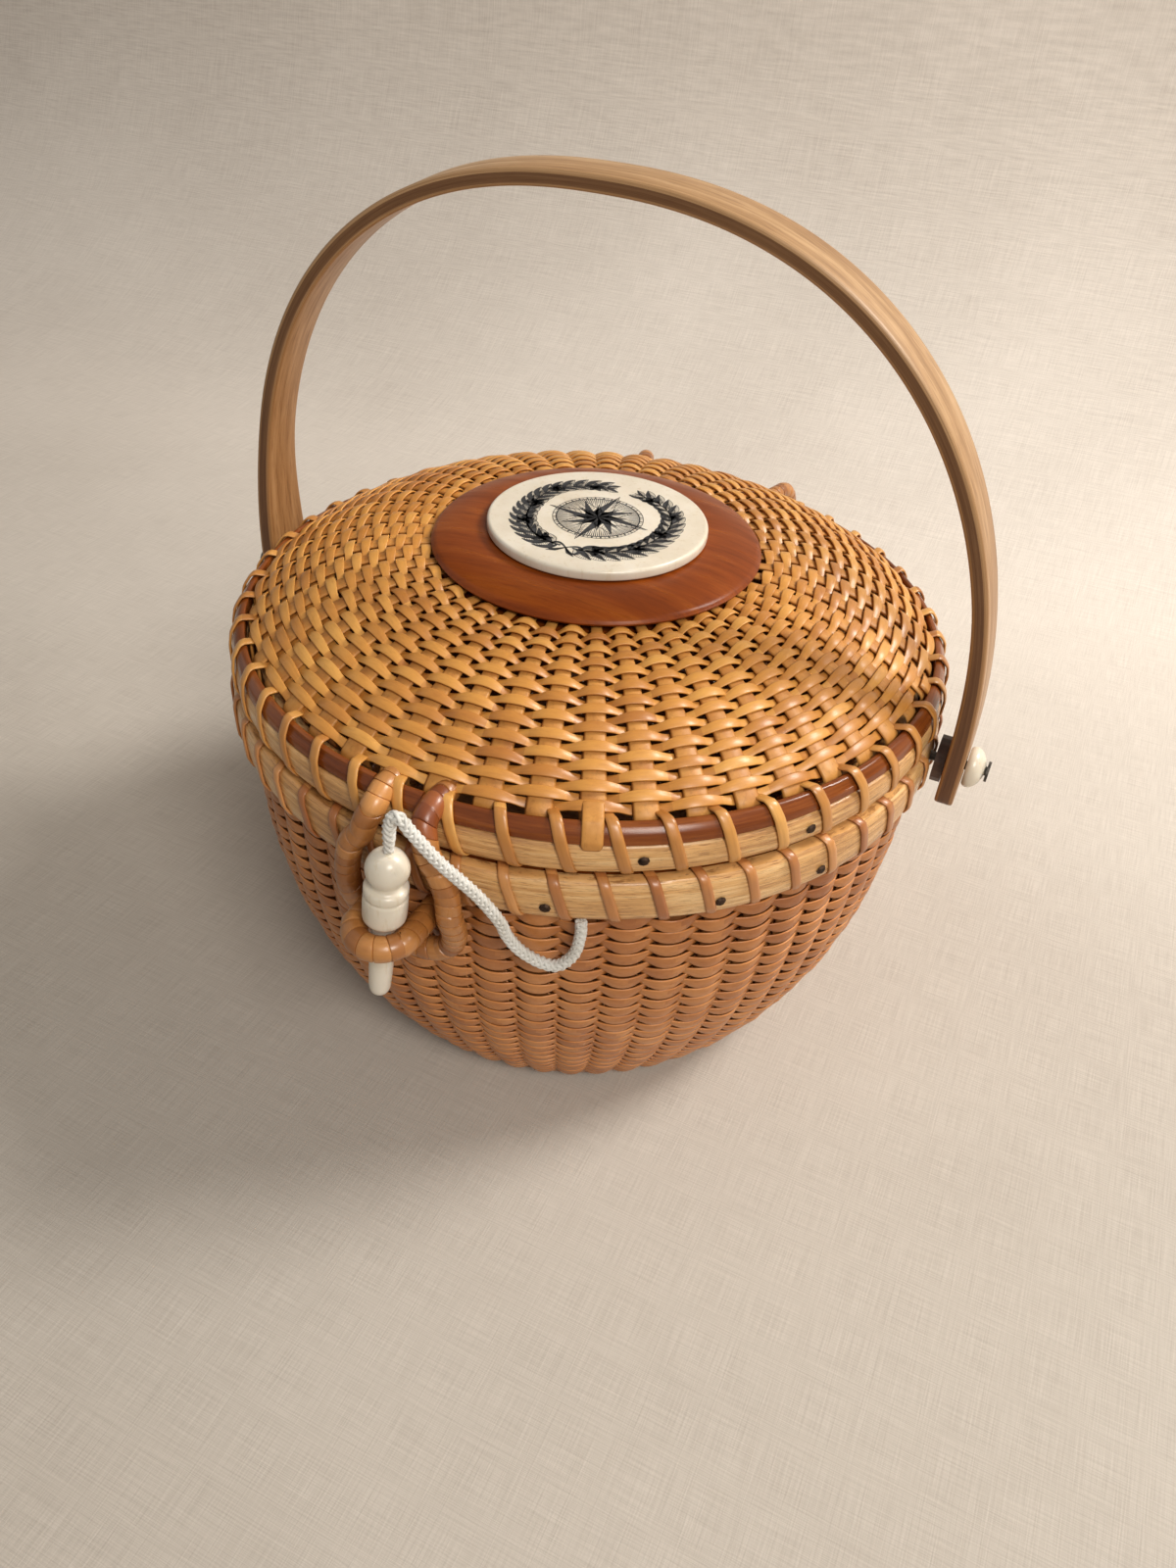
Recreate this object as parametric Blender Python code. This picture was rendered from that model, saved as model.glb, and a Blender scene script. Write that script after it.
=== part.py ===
"""Round lidded basket purse with a swing handle, in metres, +Z up.

The origin is the centre of the base's resting face. The clasp faces -Y, the
hinge loops are at +Y, and the handle's pins lie along X. The pieces are made
from the sizes below; shapes that repeat are made by loops.
"""
import math

import bmesh
import bpy
from mathutils import Matrix, Vector

for old in list(bpy.data.objects):
    bpy.data.objects.remove(old)

# Clearances
GAP = 0.0003
SEAM_GAP = 0.0003
PIN_CLEARANCE = 0.00004
BAND_CLEARANCE = 0.0004

# Overall body
SEAM_HEIGHT = 0.111
HOOP_RADIUS = 0.1012
COLUMNS = 40
SHARP_ANGLE = math.radians(35)

# Rim of the body
HOOP_THICKNESS = 0.0042
HOOP_HEIGHT = 0.0121
HOOP_ROUNDING = 0.0018
HOOP_ROUNDING_HEIGHT = 0.0029
STAVE_THICKNESS = 0.0016
INNER_HOOP_THICKNESS = 0.0030
INNER_HOOP_HEIGHT = 0.0115
FILLER_HEIGHT = 0.0012

# Lashing
LASHING_THICKNESS = 0.0007
LASHING_WIDTH = 0.0033
BODY_WRAPS = 55
BODY_WRAP_SHIFT_SHARE = 0.5
LID_WRAPS = 49
LID_WRAP_SHIFT_SHARE = 0.65
LASHING_TOP_WIDTH = 0.0065

# Woven wall of the body
WALL_THICKNESS = 0.0024
WALL_SHOULDER = 0.0013
WALL_TAPER = 0.0252
WALL_TAPER_POWER = 2.6
WALL_ROWS = 6
RIB_DEPTH = 0.0009
WALL_FOOT_HEIGHT = 0.0040
WALL_FOOT_TURN = 0.0028

# Base
BASE_THICKNESS = 0.010
BASE_GROOVE_HEIGHT = 0.0013
BASE_GROOVE_DEPTH = 0.0058
BASE_LIP = 0.0022
BASE_ROUNDING = 0.0006

# Rim of the lid
LID_HOOP_INSET = 0.0012
LID_HOOP_THICKNESS = 0.0042
LID_HOOP_HEIGHT = 0.0080
LID_HOOP_ROUNDING = 0.0016
LID_HOOP_ROUNDING_HEIGHT = 0.0022
STRIP_HEIGHT = 0.0045
STRIP_FOOT_THICKNESS = 0.0030
STRIP_TOP_THICKNESS = 0.0011
LID_INNER_HOOP_HEIGHT = 0.0078

# Woven dome of the lid
DOME_THICKNESS = 0.0022
DOME_RISE = 0.0177
DOME_POWER = 2.1
DOME_ROWS = 5
DOME_WINDOW_REACH = 0.0097

# Lid plate and plaque
PLATE_RADIUS = 0.0452
PLATE_LIP = 0.0023
PLATE_CROWN = 0.0026
PLATE_CROWN_RADIUS = 0.0320
PLATE_EDGE = 0.0012
PLATE_GROOVE_DEPTH = 0.0055
PLATE_UNDER_THICKNESS = 0.0030
PLAQUE_RADIUS = 0.0300
PLAQUE_THICKNESS = 0.0029
PLAQUE_ROUNDING = 0.0009

# Handle, its pins, knobs and spacers
HANDLE_HEIGHT = 0.1297
HANDLE_POWER = 2.3
HANDLE_LEAN = math.radians(2.7)
HANDLE_WIDTH = 0.0130
HANDLE_THICKNESS = 0.0040
HANDLE_EDGE = 0.0011
FOOT_WIDTH = 0.0175
FOOT_THICKNESS = 0.0048
FOOT_DROP = 0.0088
FOOT_FLARE_HEIGHT = 0.052
HANDLE_STATIONS = 40
PIN_BELOW_SEAM = 0.0042
PIN_RADIUS = 0.00125
PIN_HEAD_RADIUS = 0.0028
PIN_HEAD_THICKNESS = 0.0007
PIN_SIDES = 16
PIN_INNER_REACH = 0.0009
KNOB_RADIUS = 0.0056
KNOB_HEIGHT = 0.0049
SPACER_RADIUS = 0.0064
SPACER_LENGTH = 0.0026

# Clasp: staple ring, hasp loop and peg
RING_BAND = 0.0032
RING_HALF_WIDTH = 0.00675
RING_BELOW_HOOP = 0.0041
RING_PEG_REACH = 0.0112
RING_INNER_REACH = 0.0059
HASP_BAND = 0.0031
HASP_TOP_SPREAD = 0.0065
HASP_SLACK = 0.0066
HASP_SIDE_CLEARANCE = 0.0007
PEG_TILT = math.radians(7.0)
PEG_HEAD_RADIUS = 0.0051
PEG_BODY_RADIUS = 0.0052
PEG_NECK_RADIUS = 0.0039
PEG_GROOVE_RADIUS = 0.0048
PEG_SEAT_RADIUS = 0.0030
PEG_TIP_RADIUS = 0.0027
PEG_HEAD_HEIGHT = 0.0203
PEG_NECK_HEIGHT = 0.0152
PEG_COLLAR_HEIGHT = 0.0122
PEG_GROOVE_WIDTH = 0.0007
PEG_SHOULDER_HEIGHT = 0.0046
PEG_TIP_LENGTH = 0.0238
PEG_SIDES = 16
PEG_HEAD_STEPS = 6
PEG_HEAD_TURN = math.radians(134)

# Hinge loops at the back
HINGE_BAND = 0.0027
HINGE_TURN = math.radians(14.5)
HINGE_CORNER = 0.006
HINGE_INNER_REACH = 0.0046
HINGE_SLACK = 0.0024

# Nails
NAIL_HEAD_RADIUS = 0.0014
NAIL_HEAD_HEIGHT = 0.0005
NAIL_SHANK_RADIUS = 0.0006
NAIL_SHANK_LENGTH = 0.0025
NAIL_SIDES = 8
NAIL_ABOVE_EDGE = 0.0044
BODY_NAIL_SPACES = (-10.78, -7.22, -4.78)
LID_NAIL_SPACES = (-7.93, -4.67)
NAIL_CLEARANCE = 0.00004

# Cord
CORD_RADIUS = 0.0016
CORD_STEP = 0.006
SMOOTH_PARTS = 12
CORD_ROUTE = (
    (0.00310, -0.1114, 0.11920),
    (0.00345, -0.1114, 0.12270),
    (0.00390, -0.1115, 0.12690),
    (0.00520, -0.1117, 0.13000),
    (0.00730, -0.1116, 0.12980),
    (0.00930, -0.1111, 0.12670),
    (0.01470, -0.1091, 0.11880),
    (0.02120, -0.1043, 0.10760),
    (0.02540, -0.1018, 0.09930),
    (0.02640, -0.1004, 0.09420),
    (0.02900, -0.0986, 0.08870),
    (0.03320, -0.0962, 0.08430),
    (0.03720, -0.0944, 0.08330),
    (0.04040, -0.0928, 0.08720),
    (0.04130, -0.0916, 0.09280),
    (0.04110, -0.0912, 0.09740),
)

# Heights and radii that follow from the sizes above
BODY_HOOP_TOP = SEAM_HEIGHT - SEAM_GAP / 2 - LASHING_THICKNESS - GAP
BODY_HOOP_LOW = BODY_HOOP_TOP - HOOP_HEIGHT
HOOP_INNER = HOOP_RADIUS - HOOP_THICKNESS
STAVE_OUTER = HOOP_INNER - GAP
STAVE_INNER = STAVE_OUTER - STAVE_THICKNESS
INNER_HOOP_OUTER = STAVE_INNER - GAP
INNER_HOOP_INNER = INNER_HOOP_OUTER - INNER_HOOP_THICKNESS
WALL_OUTER = STAVE_OUTER + WALL_SHOULDER
WALL_FOOT_RADIUS = WALL_OUTER - WALL_TAPER
BASE_RADIUS = WALL_FOOT_RADIUS - WALL_FOOT_TURN
GROOVE_FLOOR_RADIUS = BASE_RADIUS - BASE_GROOVE_DEPTH
GROOVE_HEIGHT = WALL_THICKNESS + 2 * GAP

LID_LOW = SEAM_HEIGHT + SEAM_GAP / 2 + LASHING_THICKNESS + GAP
LID_HOOP_OUTER = HOOP_RADIUS - LID_HOOP_INSET
LID_HOOP_INNER = LID_HOOP_OUTER - LID_HOOP_THICKNESS
LID_STAVE_OUTER = LID_HOOP_INNER - GAP
LID_STAVE_INNER = LID_STAVE_OUTER - STAVE_THICKNESS
LID_INNER_HOOP_OUTER = LID_STAVE_INNER - GAP
LID_INNER_HOOP_INNER = LID_INNER_HOOP_OUTER - INNER_HOOP_THICKNESS
LID_HOOP_TOP = LID_LOW + LID_HOOP_HEIGHT
STRIP_LOW = LID_HOOP_TOP + GAP
STRIP_TOP = STRIP_LOW + STRIP_HEIGHT
DOME_FOOT = STRIP_TOP + GAP
DOME_TOP = DOME_FOOT + DOME_RISE
PLATE_GROOVE_LOW = DOME_TOP - DOME_THICKNESS - GAP
PLATE_GROOVE_HIGH = DOME_TOP + GAP
PLATE_TOP = PLATE_GROOVE_HIGH + PLATE_EDGE + PLATE_CROWN
PLAQUE_LOW = PLATE_TOP + GAP

PIN_Z = SEAM_HEIGHT - PIN_BELOW_SEAM
SPACER_INNER = HOOP_RADIUS + LASHING_THICKNESS + 2 * GAP
SPACER_OUTER = SPACER_INNER + SPACER_LENGTH
HANDLE_HALF_SPAN = SPACER_OUTER + GAP + FOOT_THICKNESS
KNOB_INNER = HANDLE_HALF_SPAN + GAP
KNOB_OUTER = KNOB_INNER + KNOB_HEIGHT
PIN_BORE_RADIUS = (PIN_RADIUS + PIN_CLEARANCE) / math.cos(math.pi / PIN_SIDES)

HASP_HIGH = LID_HOOP_TOP + GAP + HASP_BAND
HINGE_HIGH = LID_HOOP_TOP + GAP + HINGE_SLACK + HINGE_BAND
RING_Z = BODY_HOOP_LOW - RING_BELOW_HOOP
PEG_Y = -(HOOP_RADIUS + RING_PEG_REACH - LASHING_THICKNESS - GAP)
RING_INNER_Y = -(STAVE_INNER - RING_INNER_REACH)


def material(name, colour, roughness, metallic=0.0):
    made = bpy.data.materials.new(name)
    made.use_nodes = True
    shader = made.node_tree.nodes["Principled BSDF"]
    shader.inputs["Base Color"].default_value = (*colour, 1.0)
    shader.inputs["Roughness"].default_value = roughness
    shader.inputs["Metallic"].default_value = metallic
    return made


BODY_CANE = material("body_cane", (0.55, 0.27, 0.12), 0.45)
LID_CANE = material("lid_cane", (0.62, 0.33, 0.12), 0.42)
HOOP_WOOD = material("hoop_wood", (0.60, 0.37, 0.15), 0.35)
STRIP_WOOD = material("strip_wood", (0.30, 0.11, 0.04), 0.25)
LASHING_CANE = material("lashing_cane", (0.58, 0.31, 0.13), 0.40)
PLATE_WOOD = material("plate_wood", (0.22, 0.065, 0.022), 0.30)
BASE_WOOD = material("base_wood", (0.35, 0.16, 0.06), 0.45)
HANDLE_WOOD = material("handle_wood", (0.42, 0.24, 0.11), 0.40)
DARK_WOOD = material("dark_wood", (0.07, 0.03, 0.015), 0.45)
BONE = material("bone", (0.85, 0.80, 0.68), 0.35)
WRAPPED_CANE = material("wrapped_cane", (0.45, 0.21, 0.08), 0.40)
PIN_METAL = material("pin_metal", (0.12, 0.11, 0.10), 0.40, 1.0)
NAIL_METAL = material("nail_metal", (0.10, 0.07, 0.05), 0.45, 1.0)
CORD_BRAID = material("cord_braid", (0.84, 0.82, 0.78), 0.50)


def add_object(name, data, finish):
    made = bpy.data.objects.new(name, data)
    data.materials.append(finish)
    bpy.context.scene.collection.objects.link(made)
    return made


def finish_mesh(name, bm, finish):
    loose = [vert for vert in bm.verts if not vert.link_faces]
    bmesh.ops.delete(bm, geom=loose, context="VERTS")
    bmesh.ops.recalc_face_normals(bm, faces=bm.faces)
    mesh = bpy.data.meshes.new(name)
    bm.to_mesh(mesh)
    bm.free()
    mesh.shade_smooth()
    mesh.set_sharp_from_angle(angle=SHARP_ANGLE)
    return add_object(name, mesh, finish)


def turns_with(edges, columns, first=0.0):
    """The columns' angles round the basket, with the given window edges among them."""
    step = math.tau / columns
    least = step / 4
    kept = [
        (first + column * step) % math.tau
        for column in range(columns)
        if all(abs(math.remainder(first + column * step - edge, math.tau)) > least for edge in edges)
    ]
    return sorted(kept + [edge % math.tau for edge in edges])


def on_ring(bm, profile, turns):
    """Rings of points round Z. The profile is one list of (radius, height), or gives one for a turn."""
    return [
        [
            bm.verts.new((r * math.cos(turn), r * math.sin(turn), z))
            for r, z in (profile(turn) if callable(profile) else profile)
        ]
        for turn in turns
    ]


def inside_by(profile, depths):
    """The profile moved square to itself, to its right, by a depth at each point."""
    moved = []
    last = len(profile) - 1
    for place, (r, z) in enumerate(profile):
        r_before, z_before = profile[max(place - 1, 0)]
        r_after, z_after = profile[min(place + 1, last)]
        length = math.hypot(r_after - r_before, z_after - z_before)
        across = ((z_after - z_before) / length, -(r_after - r_before) / length)
        moved.append((r + across[0] * depths[place], z + across[1] * depths[place]))
    return moved


def shell(name, outer, inner, turns, is_open, finish):
    """A closed wall between two profiles, left open where is_open(column, row) says."""
    bm = bmesh.new()
    outside = on_ring(bm, outer, turns)
    inside = on_ring(bm, inner, turns)
    columns = len(turns)
    cells = {
        (column, row)
        for column in range(columns)
        for row in range(len(inner) - 1)
        if not is_open(column, row)
    }
    for column, row in sorted(cells):
        after = (column + 1) % columns
        out_a, out_b = outside[column], outside[after]
        in_a, in_b = inside[column], inside[after]
        bm.faces.new((out_a[row], out_b[row], out_b[row + 1], out_a[row + 1]))
        bm.faces.new((in_a[row + 1], in_b[row + 1], in_b[row], in_a[row]))
        if (column, row - 1) not in cells:
            bm.faces.new((out_b[row], out_a[row], in_a[row], in_b[row]))
        if (column, row + 1) not in cells:
            bm.faces.new((out_a[row + 1], out_b[row + 1], in_b[row + 1], in_a[row + 1]))
        if ((column - 1) % columns, row) not in cells:
            bm.faces.new((out_a[row], out_a[row + 1], in_a[row + 1], in_a[row]))
        if (after, row) not in cells:
            bm.faces.new((out_b[row + 1], out_b[row], in_b[row], in_b[row + 1]))
    return finish_mesh(name, bm, finish)


def turned(name, profile, turns, finish):
    """A solid of revolution about Z. A profile that begins and ends on the axis makes a disc."""
    bm = bmesh.new()
    solid = profile[0][0] == 0
    if solid:
        rings = on_ring(bm, profile[1:-1], turns)
        top = bm.verts.new((0, 0, profile[0][1]))
        low = bm.verts.new((0, 0, profile[-1][1]))
    else:
        rings = on_ring(bm, profile, turns)
    for column, ring in enumerate(rings):
        after = rings[(column + 1) % len(rings)]
        steps = len(ring) - 1 if solid else len(ring)
        for row in range(steps):
            nxt = (row + 1) % len(ring)
            bm.faces.new((ring[row], after[row], after[nxt], ring[nxt]))
        if solid:
            bm.faces.new((top, after[0], ring[0]))
            bm.faces.new((low, ring[-1], after[-1]))
    return finish_mesh(name, bm, finish)


def even_turns(sides):
    return [math.tau * side / sides for side in range(sides)]


def half_round(inner, outer, low, high, rounding, rounding_height):
    """The cross-section of a hoop: flat inside, with both outer edges eased."""
    return [
        (inner, low),
        (outer - rounding, low),
        (outer, low + rounding_height),
        (outer, high - rounding_height),
        (outer - rounding, high),
        (inner, high),
    ]


def band(name, points, radius, finish, closed):
    """A round band or cord along points."""
    curve = bpy.data.curves.new(name, "CURVE")
    curve.dimensions = "3D"
    curve.bevel_depth = radius
    curve.bevel_resolution = 2
    curve.use_fill_caps = True
    spline = curve.splines.new("POLY")
    spline.points.add(len(points) - 1)
    for point, place in zip(spline.points, points):
        point.co = (*place, 1.0)
    spline.use_cyclic_u = closed
    return add_object(name, curve, finish)


def smooth(points, step, closed=False):
    """Points at even steps along a smooth curve through the given ones."""
    count = len(points)
    stretches = count if closed else count - 1
    dense = []
    for start in range(stretches):
        if closed:
            near = [Vector(points[(start + shift) % count]) for shift in (-1, 0, 1, 2)]
        else:
            near = [Vector(points[min(max(start + shift, 0), count - 1)]) for shift in (-1, 0, 1, 2)]
        for part in range(SMOOTH_PARTS):
            t = part / SMOOTH_PARTS
            pull_in = (near[2] - near[0]) / 2
            pull_out = (near[3] - near[1]) / 2
            rise = near[2] - near[1]
            dense.append(
                near[1]
                + pull_in * t
                + (rise * 3 - pull_in * 2 - pull_out) * t * t
                + (pull_in + pull_out - rise * 2) * t * t * t
            )
    dense.append(Vector(points[0] if closed else points[-1]))
    lengths = [0.0]
    for before, after in zip(dense, dense[1:]):
        lengths.append(lengths[-1] + (after - before).length)
    pieces = max(round(lengths[-1] / step), 2)
    evened = []
    place = 0
    for piece in range(pieces if closed else pieces + 1):
        wanted = lengths[-1] * piece / pieces
        while place < len(lengths) - 2 and lengths[place + 1] < wanted:
            place += 1
        share = (wanted - lengths[place]) / (lengths[place + 1] - lengths[place])
        evened.append(dense[place].lerp(dense[place + 1], share))
    return evened


def cut(target, cutter):
    made = target.modifiers.new(cutter.name, "BOOLEAN")
    made.operation = "DIFFERENCE"
    made.solver = "EXACT"
    made.object = cutter


def add_cutter(name, bm):
    made = finish_mesh(name, bm, DARK_WOOD)
    made.hide_render = True
    made.display_type = "WIRE"
    return made


def notch_cutter(name, turn, half_width, low):
    """A block that cuts the lid's edge strip at a turn, from low up."""
    high = STRIP_TOP + STRIP_HEIGHT
    bm = bmesh.new()
    bmesh.ops.create_cube(bm, size=1)
    for vert in bm.verts:
        out = LID_HOOP_INNER + (2 * vert.co.x) * LID_HOOP_THICKNESS
        side = 2 * vert.co.y * half_width
        vert.co = (
            out * math.cos(turn) - side * math.sin(turn),
            out * math.sin(turn) + side * math.cos(turn),
            low + (vert.co.z + 0.5) * (high - low),
        )
    return add_cutter(name, bm)


# Windows in the woven walls

FRONT = -math.pi / 2
BACK = math.pi / 2


def window(middle, half_width, radius):
    return (middle - math.asin(half_width / radius), middle + math.asin(half_width / radius))


def band_window(sideways, band_radius, radius):
    """The two edges of a window that a band passes through, sideways of the front."""
    reach = band_radius + BAND_CLEARANCE
    return (
        FRONT + math.asin((sideways - reach) / radius),
        FRONT + math.asin((sideways + reach) / radius),
    )


HINGE_WINDOW = HINGE_BAND + BAND_CLEARANCE
BODY_WINDOWS = (
    band_window(-RING_HALF_WIDTH, RING_BAND, WALL_OUTER),
    band_window(RING_HALF_WIDTH, RING_BAND, WALL_OUTER),
    window(BACK - HINGE_TURN, HINGE_WINDOW, STAVE_OUTER),
    window(BACK + HINGE_TURN, HINGE_WINDOW, STAVE_OUTER),
)
LID_WINDOWS = (
    band_window(-HASP_TOP_SPREAD, HASP_BAND, LID_STAVE_OUTER),
    band_window(HASP_TOP_SPREAD, HASP_BAND, LID_STAVE_OUTER),
    window(BACK - HINGE_TURN, HINGE_WINDOW, LID_STAVE_OUTER),
    window(BACK + HINGE_TURN, HINGE_WINDOW, LID_STAVE_OUTER),
)
BODY_EDGES = [edge for pair in BODY_WINDOWS for edge in pair]
LID_EDGES = [edge for pair in LID_WINDOWS for edge in pair]
BODY_TURNS = turns_with(BODY_EDGES, COLUMNS)
LID_TURNS = turns_with(LID_EDGES, COLUMNS)
BODY_RIB_TURNS = turns_with(BODY_EDGES, 2 * BODY_WRAPS, math.tau * BODY_WRAP_SHIFT_SHARE / BODY_WRAPS)
LID_RIB_TURNS = turns_with(LID_EDGES, 2 * LID_WRAPS, math.tau * LID_WRAP_SHIFT_SHARE / LID_WRAPS)


def column_in(windows, turns, column):
    """Whether the column that starts at this turn lies inside one of the windows."""
    start = turns[column]
    width = (turns[(column + 1) % len(turns)] - start) % math.tau
    middle = start + width / 2
    return any(
        abs(math.remainder(middle - (low + high) / 2, math.tau)) < (high - low) / 2
        for low, high in windows
    )


# Ribs, one on each stave, with a dip between staves where a wrap of the lashing lies

def dip_share(turn, wraps, shift):
    """0 at a stave's middle and 1 half way to the next stave."""
    place = turn * wraps / math.tau - shift
    return 1 - 2 * abs(place - round(place))


def flat_share(turn, turns):
    """How far out the flat between two of the rim's columns lies at this turn, as a share of its radius."""
    after = next((place for place, other in enumerate(turns) if other > turn), 0)
    width = (turns[after] - turns[after - 1]) % math.tau
    return math.cos(width / 2) / math.cos((turn - turns[after - 1]) % math.tau - width / 2)


def ribbed(profile, plain_rows, wraps, shift, rim_turns):
    """The outside at a turn: the plain rows follow the rim's flats, and the others dip between staves."""
    dipped = inside_by(profile, [0 if row in plain_rows else -RIB_DEPTH for row in range(len(profile))])

    def outside(turn):
        dip = dip_share(turn, wraps, shift)
        flat = flat_share(turn, rim_turns)
        return [
            (r * flat, z) if row in plain_rows else (r + (dip_r - r) * dip, z + (dip_z - z) * dip)
            for row, ((r, z), (dip_r, dip_z)) in enumerate(zip(profile, dipped))
        ]

    return outside


# Body

def wall_radius(z):
    fall = (BODY_HOOP_LOW - z) / (BODY_HOOP_LOW - WALL_FOOT_HEIGHT)
    return WALL_OUTER - WALL_TAPER * max(fall, 0.0) ** WALL_TAPER_POWER


def wall_profile():
    """The wall's outside from the base's groove up to the rim, and its thickness at each point."""
    floor = BASE_GROOVE_HEIGHT + GAP
    window_low = RING_Z - RING_BAND - BAND_CLEARANCE
    window_high = RING_Z + RING_BAND + BAND_CLEARANCE
    heights = [
        WALL_FOOT_HEIGHT + (window_low - WALL_FOOT_HEIGHT) * row / WALL_ROWS
        for row in range(WALL_ROWS)
    ]
    profile = [(GROOVE_FLOOR_RADIUS + GAP, floor), (BASE_RADIUS, floor)]
    profile += [(wall_radius(z), z) for z in heights]
    profile += [(wall_radius(window_low), window_low), (wall_radius(window_high), window_high)]
    profile += [(STAVE_OUTER, BODY_HOOP_LOW), (STAVE_OUTER, BODY_HOOP_TOP - FILLER_HEIGHT - GAP)]
    depths = [WALL_THICKNESS] * (len(profile) - 2) + [STAVE_THICKNESS] * 2
    return profile, depths


def make_body_wall():
    outer, depths = wall_profile()
    inner = inside_by(outer, [-depth for depth in depths])
    top = outer[-1][1]
    inner[-1] = (STAVE_INNER, top)
    inner[-2] = (STAVE_INNER, BODY_HOOP_LOW)
    inner[0] = (GROOVE_FLOOR_RADIUS + GAP, outer[0][1] + WALL_THICKNESS)
    last = len(outer) - 1
    window_row = last - 3
    outside = ribbed(outer, (0, 1, last - 1, last), BODY_WRAPS, BODY_WRAP_SHIFT_SHARE, BODY_TURNS)

    def is_open(column, row):
        return row == window_row and column_in(BODY_WINDOWS, BODY_RIB_TURNS, column)

    return shell("basket_wall", outside, inner, BODY_RIB_TURNS, is_open, BODY_CANE)


def make_base():
    groove_low = BASE_GROOVE_HEIGHT
    groove_high = groove_low + GROOVE_HEIGHT
    upper = BASE_RADIUS - BASE_LIP
    profile = [
        (0, BASE_THICKNESS),
        (upper - BASE_ROUNDING, BASE_THICKNESS),
        (upper, BASE_THICKNESS - BASE_ROUNDING),
        (upper, groove_high),
        (GROOVE_FLOOR_RADIUS, groove_high),
        (GROOVE_FLOOR_RADIUS, groove_low),
        (BASE_RADIUS, groove_low),
        (BASE_RADIUS, BASE_ROUNDING),
        (BASE_RADIUS - BASE_ROUNDING, 0),
        (0, 0),
    ]
    return turned("basket_base", profile, BODY_TURNS, BASE_WOOD)


def make_body_rim():
    outer_hoop = turned(
        "basket_outer_hoop",
        half_round(
            HOOP_INNER, HOOP_RADIUS, BODY_HOOP_LOW, BODY_HOOP_TOP, HOOP_ROUNDING, HOOP_ROUNDING_HEIGHT
        ),
        BODY_TURNS,
        HOOP_WOOD,
    )
    inner_low = BODY_HOOP_TOP - INNER_HOOP_HEIGHT
    inner_hoop = turned(
        "basket_inner_hoop",
        [
            (INNER_HOOP_INNER, inner_low),
            (INNER_HOOP_OUTER, inner_low),
            (INNER_HOOP_OUTER, BODY_HOOP_TOP),
            (INNER_HOOP_INNER, BODY_HOOP_TOP),
        ],
        BODY_TURNS,
        HOOP_WOOD,
    )
    filler_low = BODY_HOOP_TOP - FILLER_HEIGHT
    turned(
        "basket_rim_filler",
        [
            (STAVE_INNER, filler_low),
            (STAVE_OUTER, filler_low),
            (STAVE_OUTER, BODY_HOOP_TOP),
            (STAVE_INNER, BODY_HOOP_TOP),
        ],
        BODY_TURNS,
        STRIP_WOOD,
    )
    return outer_hoop, inner_hoop


def wrap_turns(wraps, radius, shift):
    """Each wrap's two edges in turn, round the rim."""
    half = math.asin(LASHING_WIDTH / 2 / radius)
    turns = []
    for wrap in range(wraps):
        middle = math.tau * (wrap + shift) / wraps
        turns += [middle - half, middle + half]
    return turns


def make_lashing(name, path, turns):
    """Wraps that follow path, joined by the strip's flat turn over the rim, path's first row."""
    outer = inside_by(path, [-LASHING_THICKNESS] * len(path))

    def is_open(column, row):
        return row > 0 and column % 2 == 1

    return shell(name, outer, path, turns, is_open, LASHING_CANE)


def make_body_lashing():
    top = BODY_HOOP_TOP + GAP
    face = HOOP_RADIUS + GAP
    path = [
        (HOOP_INNER + HOOP_THICKNESS / 2 - LASHING_TOP_WIDTH, top),
        (HOOP_RADIUS - HOOP_ROUNDING, top),
        (face, BODY_HOOP_TOP - HOOP_ROUNDING_HEIGHT + GAP),
        (face, BODY_HOOP_LOW + HOOP_ROUNDING_HEIGHT - GAP),
        (HOOP_RADIUS - HOOP_ROUNDING, BODY_HOOP_LOW - GAP),
    ]
    turns = wrap_turns(BODY_WRAPS, HOOP_RADIUS, BODY_WRAP_SHIFT_SHARE)
    return make_lashing("basket_lashing", path, turns)


# Lid

def dome_height(radius):
    """How high the dome's outside is at a radius."""
    run = LID_STAVE_OUTER - PLATE_RADIUS
    inward = min(max((LID_STAVE_OUTER - radius) / run, 0.0), 1.0)
    return DOME_FOOT + DOME_RISE * (1 - (1 - inward) ** DOME_POWER)


def make_lid_weave():
    window_end = LID_STAVE_OUTER - DOME_WINDOW_REACH
    profile = [
        (LID_STAVE_OUTER, LID_LOW + FILLER_HEIGHT + GAP),
        (LID_STAVE_OUTER, LID_HOOP_TOP),
        (LID_STAVE_OUTER, DOME_FOOT),
        (window_end, dome_height(window_end)),
    ]
    for row in range(1, DOME_ROWS + 1):
        radius = window_end + (PLATE_RADIUS - window_end) * row / DOME_ROWS
        profile.append((radius, dome_height(radius)))
    profile.append((PLATE_RADIUS - PLATE_GROOVE_DEPTH + GAP, DOME_TOP))
    depths = [STAVE_THICKNESS] * 3 + [DOME_THICKNESS] * (len(profile) - 3)
    inner = inside_by(profile, [-depth for depth in depths])
    inner[0] = (LID_STAVE_INNER, profile[0][1])
    inner[1] = (LID_STAVE_INNER, profile[1][1])
    inner[2] = (LID_STAVE_INNER, DOME_FOOT - STAVE_THICKNESS / 2)
    inner[-2] = (PLATE_RADIUS, DOME_TOP - DOME_THICKNESS)
    inner[-1] = (profile[-1][0], DOME_TOP - DOME_THICKNESS)

    outside = ribbed(profile, (0, 1, 2, len(profile) - 1), LID_WRAPS, LID_WRAP_SHIFT_SHARE, LID_TURNS)

    def is_open(column, row):
        return row in (1, 2) and column_in(LID_WINDOWS, LID_RIB_TURNS, column)

    return shell("lid_weave", outside, inner, LID_RIB_TURNS, is_open, LID_CANE)


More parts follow.
